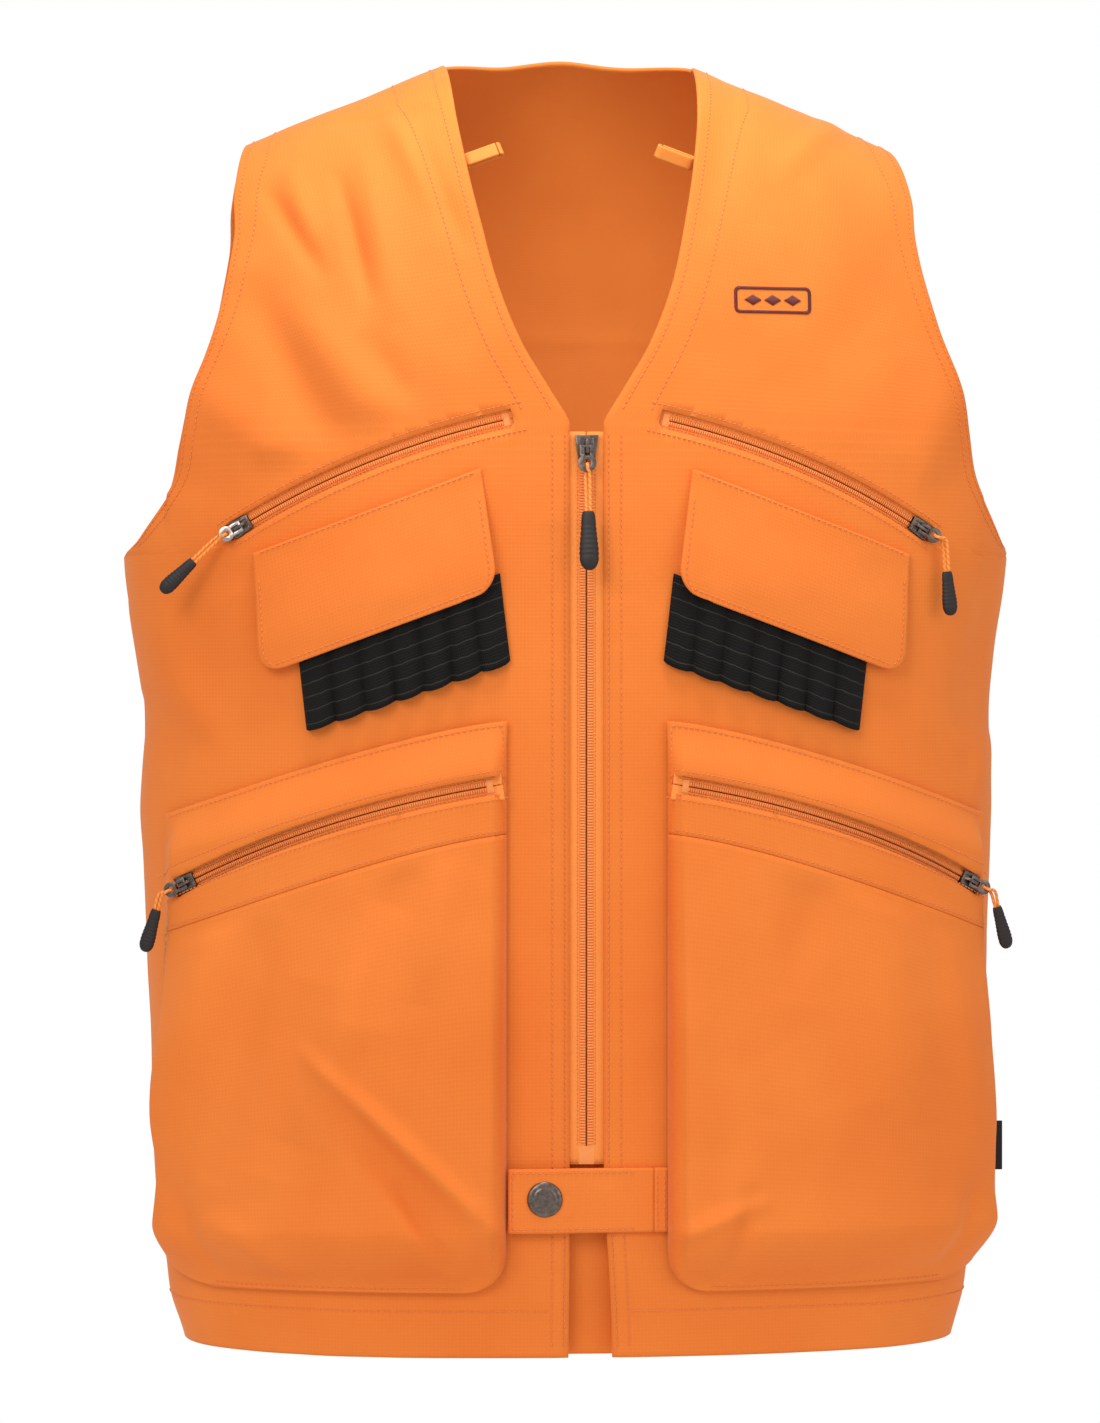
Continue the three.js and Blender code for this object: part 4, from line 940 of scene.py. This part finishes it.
def frontEdgeTurn(run, spread):
    share = through(neckShape, (run - panel["neckBottom"]) / (topRun - panel["neckBottom"]))
    low = panel["frontEdge"] + spread * (1 - ease(run / zipBottom))
    return turnAt(np.where(run <= panel["neckBottom"], low, mix(panel["frontEdge"], panel["neckHalf"], share)), run)


# The hang of the fronts: soft folds from the shoulders, each from one point to another.
frontFolds = [
    [-130, 632, -117, 573, 5, -3.6], [-116, 640, -103, 566, 8, 3.8], [-168, 628, -142, 583, 6, -3.4],
    [-178, 570, -132, 483, 13, -5.2], [-152, 562, -100, 488, 14, 4.6], [-116, 545, -94, 510, 9, -3.0],
    [-156, 640, -146, 600, 8, 3.0], [-102, 670, -80, 624, 8, 3.6], [-88, 655, -66, 600, 6, -2.6],
    [-128, 668, -84, 675, 3, -1.6], [-205, 520, -150, 470, 16, 4.4], [-225, 480, -190, 420, 16, -4.0],
    [-232, 400, -205, 330, 13, 4.2], [-228, 350, -190, 290, 12, -3.6], [90, 690, 68, 610, 12, -3.0],
    [120, 660, 160, 560, 22, 3.0], [190, 600, 120, 520, 22, -3.0], [215, 540, 180, 470, 16, 3.2],
    [232, 420, 214, 340, 12, -4.0], [228, 330, 205, 290, 12, 3.4], [150, 676, 110, 640, 8, 2.2],
    [-222, 190, -226, 60, 12, 2.4], [224, 200, 226, 60, 12, 2.2], [-120, 28, -118, 2, 14, 1.6],
    [70, 30, 74, 0, 16, -1.6], [160, 30, 166, 0, 16, 1.6], [-40, 60, -38, 0, 12, -1.4],
]
backFolds = [
    [-120, 640, -60, 480, 24, 4.0], [120, 640, 60, 480, 24, 4.0], [-190, 560, -130, 420, 18, -3.5],
    [185, 570, 130, 430, 18, -3.5], [0, 600, 6, 380, 26, -2.5], [-150, 380, -165, 160, 24, 4.0],
    [150, 380, 170, 150, 24, 4.0], [-60, 360, -80, 60, 30, -3.5], [70, 350, 78, 40, 30, -3.5],
    [0, 300, 2, 20, 26, 3.0], [-225, 420, -190, 330, 14, 3.0], [225, 420, 190, 330, 14, 3.0],
]


def zipCalm(x, z):  # 0 on a zip's line, 1 away from it
    x = np.abs(x)
    calm = ease((x - 24) / 26)
    for line in (chestZip, lowerZip):
        at = through([line["inner"], line["middle"], line["outer"]], x)
        reach = (x > line["inner"][0] - 30) & (x < line["outer"][0] + 40)
        calm = calm * np.where(reach, ease((np.abs(z - at) - 9) / 26), 1)
    return np.where(z > 515, ease((x - 24) / 26) * calm, calm)


def panelLift(x, z):
    under = ease((345 - z) / 30) * ease((z - 20) / 20) * ease((226 - np.abs(x)) / 14) * ease((np.abs(x) - 30) / 14)
    underFlap = ease((490 - z) / 20) * ease((z - 325) / 20) * ease((186 - np.abs(x)) / 14)
    calm = zipCalm(x, z) * (1 - 0.95 * under) * (1 - 0.9 * underFlap)
    wave = 1.1 * noise(x / 60 + 3, z / 90, 11) + 0.35 * noise(x / 17, z / 26, 12)
    pucker = 0.22 * noise(x / 40, z / 6.5, 13) * np.exp(-(((np.abs(x) - 18) / 7) ** 2))
    pucker = pucker + 0.3 * noise(x / 7, z / 30, 14) * np.exp(-(((z - 25) / 9) ** 2)) * (1 - under)
    return calm * (foldHeight(x, z, frontFolds) + wave) + pucker * ease((np.abs(x) - 9) / 4)


yokeSeam = 560  # the height of the seam across the back


def backLift(x, z):
    pucker = 0.3 * noise(x / 7, z / 30, 15) * np.exp(-(((z - 25) / 9) ** 2))
    fromSeam = z - yokeSeam
    yoke = 0.35 * noise(x / 6, z / 30, 16) * np.exp(-((fromSeam / 8) ** 2)) - 0.5 * np.exp(-((fromSeam / 2.5) ** 2))
    wave = 1.2 * noise(x / 60, z / 90, 17)
    return foldHeight(x, z, backFolds) + wave + 0.35 * noise(x / 17, z / 26, 18) + pucker + yoke


def frontPoint(turn, run, out=0.0):
    flat = surface(turn, run)
    return onBody(turn, run, panelLift(flat[..., 0], flat[..., 2]) + out)


def backPoint(turn, run, out=0.0):
    flat = surface(turn, run)
    return onBody(turn, run, backLift(flat[..., 0], flat[..., 2]) + out)


for sideName, side in sides.items():
    spread = panel["hemSpread"] if side > 0 else 0
    run = np.linspace(0, ridgeEnd, 287)[:, None]
    turn = side * mix(frontEdgeTurn(run, spread), armholeTurn(run), np.linspace(0, 1, 100)[None, :])
    grid = frontPoint(turn, np.broadcast_to(run, turn.shape))
    normals = gridNormals(grid)
    grid, keep = cutWindow(grid, zips[f"chest_zip_{sideName}"]["track"])
    clothSheet(f"{sideName}_front_cloth", grid, cloth["thick"], (ripstop, lining), "shell",
               [f"{sideName}_front_panel"], keep=keep, normals=normals * np.sign(-normals[140, 50, 1]))

neckTurn = float(turnAt(panel["neckHalf"], topRun) / armholeTurn(topRun))
share = np.linspace(-1, 1, 171)[None, :]
row = np.linspace(0, ridgeEnd, 261)[:, None]
drop = panel["backNeckDrop"] * np.maximum(0, 1 - (share / neckTurn) ** 2)
run = row * (ridgeEnd - drop) / ridgeEnd
turn = np.pi - share * armholeTurn(run)
clothSheet("back_cloth", backPoint(turn, run), cloth["thick"], (ripstop, lining), "shell", ["back_panel"])
print("panels made")

# ---- underlay behind the main zip
underlay = dict(columns=[-31, -23, -19.5, -12, 0, 15], foot=23, top=494, low=1, thick=1.4)
depths = [-3.2, -3.2, -5, mainZip["footLow"] - 0.8, mainZip["footLow"] - 0.8, mainZip["footLow"] - 0.8]
u = np.linspace(0, 5, 41)[None, :]
z = np.linspace(underlay["low"], underlay["top"], 150)[:, None]
column = lambda values: np.interp(u, range(6), values)
edge = (underlay["foot"] - underlay["columns"][-1]) * (1 - ease(z / zipBottom)) * np.clip(u - 4, 0, 1)
ripple = 0.5 * noise(u * 1.5, z / 22, 21) * ease((20 + z) / 40)
depth = column(depths) - 0.5 + ripple * (u < 3)
clothSheet("zip_underlay_cloth", onFront(column(underlay["columns"]) + edge, z + 0 * u, depth), underlay["thick"],
           ripstop, "shell", ["zip_underlay"])

# ---- chest pocket bags behind the fronts
for sideName, side in sides.items():
    track = zips[f"chest_zip_{sideName}"]["track"]
    below = np.linspace(-13, 118, 56)[:, None]
    u = np.linspace(0, 1, 61)[None, :]
    line = onTrack(track, mix(0.02, 0.98, u), 0 * u, 0 * u)
    flatDepth, deep = -cloth["thick"] - cloth["gap"], pocketZip["footLow"] - 1.9
    depth = np.interp(below, [-13, -9, 9, 15, 118], [flatDepth, deep, deep, flatDepth - 0.4, flatDepth])
    tuck = 10 * ease((below - 40) / 78) * (2 * u - 1)
    grid = onFront(line[..., 0] - side * tuck, line[..., 2] - below, depth + 0 * u)
    clothSheet(f"chest_pocket_lining_{sideName}", grid, 1.2, lining, "shell", [f"chest_pocket_bag_{sideName}"])

# ---- lower pockets
pocketFolds = [
    [-136, 156, -48, 68, 4.5, 6.6], [-124, 128, -62, 58, 9, -5.6], [-98, 92, -74, 52, 4, -4.6],
    [-46, 100, -58, 40, 6, -3.2], [-96, 262, -112, 190, 12, -4.4], [-108, 228, -144, 130, 14, 6.4],
    [-76, 262, -86, 200, 10, 3.2], [-142, 190, -160, 110, 16, -4.0], [-190, 228, -213, 120, 12, 8.0],
    [-168, 220, -186, 110, 12, -5.0], [-206, 92, -192, 44, 6, -4.4], [-186, 72, -150, 44, 8, 3.4],
    [52, 196, 62, 100, 8, 2.6], [42, 64, 88, 84, 5, 3.8], [84, 88, 74, 44, 5, -3.6], [150, 250, 174, 140, 20, 3.6],
    [122, 240, 140, 150, 18, -3.0], [194, 215, 206, 100, 11, 4.2], [204, 92, 194, 44, 6, -4.0],
    [100, 150, 156, 62, 20, 2.6], [120, 262, 108, 200, 12, -2.2], [90, 120, 70, 60, 12, 2.0],
]


def pocketCloth(x, z):  # the pocket's own folds, gone at its zip, its sides and its foot
    calm = zipCalm(x, z) * ease((np.abs(x) - pocket["inner"]) / 8) * ease((pocket["outer"] - np.abs(x)) / 8)
    calm = calm * ease((z - pocket["bottom"]) / 14)
    seam = pocketSeam(x) - z
    calm = calm * ease((np.abs(seam) - 1) / 14)
    wave = 0.9 * noise(x / 38, z / 60, 31) + 0.3 * noise(x / 14, z / 18, 32)
    pucker = 0.28 * noise(x / 6, z / 40, 33) * np.exp(-((seam / 6) ** 2))
    sag = 3.0 * np.exp(-(((z - 62) / 22) ** 2)) * calm
    return calm * (foldHeight(x, z, pocketFolds) + wave) + sag + pucker


def pocketPoint(side, x, z, out=0.0):
    return onFront(side * x, z, pocketLift(x, z) + pocketCloth(side * x, z) + out)


for sideName, side in sides.items():
    turns = np.linspace(turnAt(pocket["inner"], pocket["seamInner"]), turnAt(pocket["outer"], pocket["seamInner"]), 96)
    x = surface(turns, pocket["seamInner"])[:, 0][None, :]
    v = np.linspace(0, 1, 40)[:, None]
    z = mix(pocketSeam(x) + cloth["seam"], pocketTop(x), v)
    grid = pocketPoint(side, x + 0 * z, z)
    normals = gridNormals(grid)
    normals = normals * np.sign(-normals[20, 48, 1])
    grid, keep = cutWindow(grid, zips[f"lower_zip_{sideName}"]["track"])
    clothSheet(f"lower_pocket_yoke_cloth_{sideName}", grid, 1.6, (ripstop, lining), "shell",
               [f"lower_pocket_yoke_{sideName}"], keep=keep, normals=normals)
    v = np.linspace(0, 1, 110)[:, None] ** 1.25
    rough = v * (pocket["seamInner"] - pocket["bottom"])
    corner = np.maximum(0, pocket["corner"] - rough)
    inset = pocket["corner"] - np.sqrt(pocket["corner"] ** 2 - corner**2)
    outerEdge = pocket["outer"] - inset - pocket["footTaper"] * (1 - v)
    t = np.linspace(0, 1, 90)[None, :]
    height = rough + pocket["bottom"]
    x = surface(mix(turnAt(pocket["inner"] + inset, height), turnAt(outerEdge, height), t), height)[..., 0]
    z = mix(pocket["bottom"], pocketSeam(x) - cloth["seam"], v)
    clothSheet(f"lower_pocket_bag_cloth_{sideName}", pocketPoint(side, x, z), cloth["thick"], (ripstop, lining),
               "shell", [f"lower_pocket_bag_{sideName}"])
print("pockets made")

# ---- cartridge loops and flaps
loops = dict(count=7, thick=1.5, topInner=[46.5, 420], topOuter=[153, 378], lowInner=[41, 372], lowOuter=[148.5, 335],
             swellLow=5.2, swellTop=1.9, scallop=1.6)
flap = dict(thick=2.2, topInner=[57, 476], topOuter=[177, 431], lowInner=[48, 412], lowOuter=[171, 366],
            corner=12, lift=5.0)


def patchAt(shape, u, v):
    return [mix(mix(shape["lowInner"][k], shape["lowOuter"][k], u),
                mix(shape["topInner"][k], shape["topOuter"][k], u), v) for k in (0, 1)]


def loopPoint(side, u, v, out=0.0):
    x, z = patchAt(loops, u, v)
    count = loops["count"]
    warped = u + 0.012 * noise(u * 5, v * 1.5, 44 + side) * np.sin(np.pi * u)
    wave = np.abs(np.sin(np.pi * count * warped)) ** 0.62
    size = mix(loops["swellLow"], loops["swellTop"], v) * (1 - 0.55 * ease((0.2 - u) / 0.16))
    size = size * (1 + 0.12 * noise(u * count, v * 2, 41 + side))
    scallop = loops["scallop"] * (1 - wave) * (1 - v) ** 2
    return onFront(side * x, z + scallop, cloth["gap"] + size * wave + out)


def flapLift(u, v):
    belly = 1.6 * np.sin(np.pi * u) * np.sin(np.pi * np.clip(v, 0, 1))
    belly = belly + 2.6 * ease((0.14 - u) / 0.14) * (1 - v) * ease((0.95 - v) / 0.3)
    return mix(flap["lift"], cloth["gap"], ease(v * 1.25 - 0.15)) + belly


def flapPoint(side, u, v, out=0.0):
    height, width = flap["topInner"][1] - flap["lowInner"][1], flap["topOuter"][0] - flap["topInner"][0]
    corner = np.maximum(0, flap["corner"] - v * height)
    inset = (flap["corner"] - np.sqrt(flap["corner"] ** 2 - corner**2)) / width
    across = mix(inset, 1 - inset, u)
    x, z = patchAt(flap, across, v)
    crumple = 0.35 * noise(across * 7, v * 4, 43 + side) * ease(v / 0.2) * ease((1 - v) / 0.15)
    return onFront(side * x, z, flapLift(across, v) + crumple + out)


for sideName, side in sides.items():
    u = np.linspace(0, 1, loops["count"] * 16 + 1)[None, :]
    v = np.linspace(0, 1, 26)[:, None]
    clothSheet(f"cartridge_loop_band_{sideName}", loopPoint(side, u, v, loops["thick"]), loops["thick"], elastic,
               "shell", [f"cartridge_loops_{sideName}"])
    u = np.linspace(0, 1, 90)[None, :]
    v = np.linspace(0, 1, 52)[:, None] ** 1.2
    made = clothSheet(f"chest_flap_cloth_{sideName}", flapPoint(side, u, v, flap["thick"]), flap["thick"],
                      (ripstop, ripstop), None, [f"chest_flap_{sideName}"])
    edge = [flapPoint(side, 0.5, 1 - k / 64.0) for k in (2, 16)]
    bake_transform(made)
print("loops and flaps made")

# ---- hem tab with its press stud
hemTab = dict(free=-42, sewn=35.7, anchor=36.2, end=43, low=68, high=102, thick=2.2, lift=4.2, flat=-8)
snapAt = [-23, 86]


def hemPoint(x, z, out=0.0):
    lift = mix(hemTab["lift"], cloth["gap"], ease((x - snapAt[0] - 4) / (hemTab["flat"] - snapAt[0] + 4)))
    crumple = 0.3 * noise(x / 11, z / 9, 51) * ease((hemTab["sewn"] - x) / 12)
    crumple = crumple * ease((np.hypot(x - snapAt[0], z - snapAt[1]) - 8) / 8)
    return onFront(x, z, lift + crumple + out)


z = np.linspace(hemTab["low"], hemTab["high"], 26)[:, None]
x = np.linspace(hemTab["free"], hemTab["sewn"], 60)[None, :]
made = clothSheet("hem_tab_cloth", hemPoint(x, z, hemTab["thick"]), hemTab["thick"], ripstop, None, ["hem_tab"])
ends = [(hemPoint(np.array(at), np.array(85.0)) - [0, 0, neckHeight]) * mm for at in (35.0, 27.0)]
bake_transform(made)
x = np.linspace(hemTab["anchor"], hemTab["end"], 6)[None, :]
clothSheet("hem_tab_anchor_cloth", hemPoint(x, z, hemTab["thick"]), hemTab["thick"], ripstop, "shell",
           ["hem_tab_anchor"])
snapPlace = Matrix([[1, 0, 0, 0], [0, 0, -1, 0], [0, 1, 0, 0], [0, 0, 0, 1]])
snapPlace.translation = Vector(onFront(snapAt[0], snapAt[1]))
capFoot = hemTab["lift"] + hemTab["thick"] + 0.1
capProfile = [(0, 9.1), (0.12, 9.5), (0.35, 9.45), (0.8, 8.9), (1.2, 8.0), (1.35, 7.3), (1.2, 6.95), (1.2, 6.5),
              (1.45, 6.2), (1.65, 5.2), (1.8, 3.4), (1.88, 1.6), (1.9, 0.1)]
cap = spunShape("cap", [(capFoot + h, r) for h, r in capProfile], 64)
bpy.ops.object.shade_smooth_by_angle(angle=math.radians(50))
placed(cap, "snap_spun_cap", snapPlace, gunmetal, "hem_tab", ["snap_cap"])
bpy.data.objects.remove(cap)

# ---- hanger loops inside the neck
hanger = dict(length=22, height=6, wall=1.4, width=7, at=[64, 648], depth=5.7, rise=20, roll=70)
for sideName, side in sides.items():
    r, long = hanger["height"] / 2, hanger["length"]
    turns = np.linspace(0, np.pi, 9)
    outline = [[long - r - (long - 2 * r) * t, r] for t in np.linspace(0, 1, 12)]
    outline += [[r - r * math.sin(a), r * math.cos(a)] for a in turns[1:]]
    outline += [[r + (long - 2 * r) * t, -r] for t in np.linspace(0, 1, 12)[1:]]
    outline += [[long - r + r * math.sin(a), -r * math.cos(a)] for a in turns[1:-1]]
    outline = np.array(outline)
    cross = np.gradient(outline, axis=0)
    outlineOut = unit(np.stack([cross[:, 1], -cross[:, 0]], -1))
    if (outlineOut * (outline - outline.mean(0))).sum() < 0:
        outlineOut = -outlineOut
    y = np.linspace(-hanger["width"] / 2, hanger["width"] / 2, 8)
    local = np.stack([np.broadcast_to(outline[:, :1], (len(outline), 8)), np.broadcast_to(y, (len(outline), 8)),
                      np.broadcast_to(outline[:, 1:], (len(outline), 8))], -1)
    out = np.broadcast_to(np.stack([outlineOut[:, 0], 0 * outlineOut[:, 0], outlineOut[:, 1]], -1)[:, None],
                          local.shape)
    facing = Matrix.Rotation(math.pi if side > 0 else 0, 3, "Z")
    rising = Matrix.Rotation(-math.radians(hanger["rise"]), 3, "Y")
    turnBy = np.array(facing @ rising @ Matrix.Rotation(math.radians(hanger["roll"]), 3, "X"))
    seat = onFront(side * hanger["at"][0], hanger["at"][1], -cloth["thick"] - hanger["depth"])
    clothSheet(f"hanger_strap_{sideName}", local @ turnBy.T + seat, hanger["wall"], lining, f"hanger_loop_{sideName}",
               [f"hanger_loop_{sideName}"], normals=out @ turnBy.T, roll=0.15)

# ---- blank side label and the embroidered badge
label = dict(at=[223.5, 105], width=15, height=27, thick=0.8, turn=-4)
seat = onFront(label["at"][0], label["at"][1], cloth["gap"])
u, v = np.linspace(0, 1, 10)[None, :], np.linspace(-0.5, 0.5, 16)[:, None]
curl = 0.6 * np.sin(np.pi * u) + 0 * v
angle = math.radians(label["turn"])
grid = np.stack([seat[0] + u * label["width"] * math.cos(angle) + 0 * v, seat[1] - label["thick"] - curl + 0 * v
                 + u * label["width"] * math.sin(angle), seat[2] + v * label["height"] + 0 * u], -1)
clothSheet("side_label_tape", grid, label["thick"], labelSatin, "shell", ["side_label"],
           normals=np.broadcast_to([0.0, -1.0, 0.0], grid.shape), roll=0.1)

badge = dict(at=[102, 568], width=43, height=15, border=2.0, corner=3.2, pitch=0.42, threadWidth=0.62)


def onBadge(x, z, out=0.35):
    flat = onFront(badge["at"][0] + x, badge["at"][1] + z)
    return onFront(badge["at"][0] + x, badge["at"][1] + z, panelLift(flat[..., 0], flat[..., 2]) + out)


def roundedLoop(half, halfHeight, corner, count):
    t = np.linspace(0, 4, count, endpoint=False)
    k, f = np.floor(t).astype(int), t % 1
    straight = [(half - corner) * 2, (halfHeight - corner) * 2]
    points = []
    for quarter, share in zip(k, f):
        run = straight[quarter % 2]
        bend = corner * math.pi / 2
        d = share * (run + bend)
        start = [(-half + corner, halfHeight), (half, halfHeight - corner),
                 (half - corner, -halfHeight), (-half, -halfHeight + corner)][quarter]
        heading = [(1, 0), (0, -1), (-1, 0), (0, 1)][quarter]
        inward = [(0, -1), (-1, 0), (0, 1), (1, 0)][quarter]
        if d <= run:
            p = (start[0] + heading[0] * d, start[1] + heading[1] * d)
            n = (-inward[0], -inward[1])
        else:
            a = (d - run) / corner
            centre = [start[k] + heading[k] * run + inward[k] * corner for k in (0, 1)]
            n = [-inward[k] * math.cos(a) + heading[k] * math.sin(a) for k in (0, 1)]
            p = (centre[0] + n[0] * corner, centre[1] + n[1] * corner)
        points.append((*p, *n))
    return np.array(points)


count = int(2 * (badge["width"] + badge["height"]) / badge["pitch"])
ring = roundedLoop(badge["width"] / 2, badge["height"] / 2, badge["corner"], count)
starts = onBadge(ring[:, 0], ring[:, 1])
ends = onBadge(ring[:, 0] - ring[:, 2] * badge["border"], ring[:, 1] - ring[:, 3] * badge["border"])
lines = [(starts, ends, np.broadcast_to(unit(onBadge(0.0, 0.0, 1) - onBadge(0.0, 0.0, 0)), starts.shape))]
for middle in (-11, 0, 11):  # three plain lozenges
    x = np.arange(-4.6, 4.6, badge["pitch"])
    tall = 3.4 * (1 - np.abs(x) / 4.8)
    starts, ends = onBadge(middle + x, tall), onBadge(middle + x, -tall)
    lines.append((starts, ends, np.broadcast_to(lines[0][2][0], starts.shape)))
made = joinStitches("chest_badge_embroidery", lines, badge["threadWidth"], embroidery, "shell")
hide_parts("chest_patch")
print("tab, loops, label and badge made")

# ---- seams: topstitching on the shell cloth
stitch = dict(width=0.62, pitch=3.2, zipPitch=2.8, lift=0.12, besideZip=7.6, beforeZip=7.5, pastZip=12)
lines = []


def addLine(maker, *at, pitch=stitch["pitch"]):  # a line of stitches on the surface that maker gives
    path = maker(*at, stitch["lift"])
    lines.append(stitchesAlong(path, maker(*at, stitch["lift"] + 1) - path, pitch))


def addZipLines(name, maker):  # a line on each side of a zip; maker takes x, z and a height over the cloth
    track = zips[name]["track"]
    s = np.linspace(-stitch["beforeZip"] / track["length"], 1 + stitch["pastZip"] / track["length"], 100)
    for way in (-1, 1):
        at = onTrack(track, s, np.full(100, way * stitch["besideZip"]), np.zeros(100))
        addLine(maker, at[:, 0], at[:, 2], pitch=stitch["zipPitch"])


def sewLines(name, bodyName="shell"):
    joinStitches(name, lines, stitch["width"], sewingThread, bodyName)
    lines.clear()


for sideName, side in sides.items():
    spread = panel["hemSpread"] if side > 0 else 0
    hemRun = np.full(160, 25.0)
    t = np.linspace(0.02, 1, 160)
    addLine(frontPoint, side * mix(frontEdgeTurn(hemRun, spread), armholeTurn(hemRun), t), hemRun)
    run = np.linspace(6, 494, 200)
    for inset in (2.2, 9):
        x = halfWidth(run) * np.abs(np.sin(frontEdgeTurn(run, spread))) ** body["power"] + inset
        addLine(frontPoint, side * turnAt(x, run), run)
    run = np.linspace(502, 724, 120)
    for inset in (2.0, 8):
        turn = frontEdgeTurn(run, spread) + inset / 130 / np.maximum(0.5, np.sin((760 - run) / 270 * 1.57))
        addLine(frontPoint, side * turn, run)
    run = np.linspace(436, 724, 140)
    for inset in (2.5, 9):
        turn = armholeTurn(run) - inset / 150 / np.maximum(0.55, np.sin((760 - run) / 270 * 1.57))
        addLine(frontPoint, side * turn, run)
    addZipLines(f"chest_zip_{sideName}", lambda x, z, out: frontPoint(turnAt(x, runAt(x, z)), runAt(x, z), out))
sewLines("front_topstitching")

for sideName, side in sides.items():
    at = lambda x, z, out: pocketPoint(side, x, z, out)
    x = np.linspace(pocket["inner"] + 2, pocket["outer"] - 2, 120)
    addLine(at, x, pocketSeam(x) + 2.2)
    addLine(at, x, pocketTop(x) - 2.0)
    z = np.linspace(pocket["seamInner"] + 3, pocket["topInner"] - 3, 40)
    addLine(at, np.full(40, pocket["inner"] + 2.0), z)
    z = np.linspace(pocket["bottom"] + 24, pocket["seamInner"] - 3, 120)
    for edgeX in (pocket["inner"] + 2.0, pocket["outer"] - 2.2):
        addLine(at, np.full(120, edgeX), np.minimum(z, pocketSeam(edgeX) - 3))
    x = np.linspace(pocket["inner"] + 24, pocket["outer"] - 27, 100)
    addLine(at, x, np.full(100, pocket["bottom"] + 2.2))
    addZipLines(f"lower_zip_{sideName}", lambda x, z, out: pocketPoint(side, np.abs(x), z, out))
sewLines("pocket_topstitching")

share = np.linspace(-0.995, 0.995, 300)
for run in (25.0, yokeSeam - 3.0, yokeSeam + 3.0):
    runs = np.full(300, run)
    addLine(backPoint, np.pi - share * armholeTurn(runs), runs)
sewLines("back_topstitching")

for sideName, side in sides.items():
    at = lambda u, v, out: flapPoint(side, u, v, flap["thick"] + out)
    u = np.linspace(0.03, 0.97, 80)
    addLine(at, u, np.full(80, 0.045))
    v = np.linspace(0.05, 0.78, 40)
    for edgeU in (0.022, 0.978):
        addLine(at, np.full(40, edgeU), v)
    sewLines(f"chest_flap_stitching_{sideName}", f"chest_flap_{sideName}")
    addLine(at, u, np.full(80, 0.985))
    sewLines(f"chest_flap_seam_{sideName}")

at = lambda x, z, out: hemPoint(x, z, hemTab["thick"] + out)
x = np.linspace(hemTab["free"] + 2, 26, 40)
for z in (hemTab["low"] + 2, hemTab["high"] - 2):
    addLine(at, x, np.full(40, z))
z = np.linspace(hemTab["low"] + 2, hemTab["high"] - 2, 20)
addLine(at, np.full(20, hemTab["free"] + 2.0), z)
sewLines("hem_tab_stitching", "hem_tab")
for edgeX in (37.6, 41.6):
    addLine(at, np.full(20, edgeX), z)
sewLines("hem_tab_seam")
print("seams made")

({"cad": [list(map(float, corner)) for corner in cadBox],
           "visual": [list(map(float, corner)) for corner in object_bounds()]})
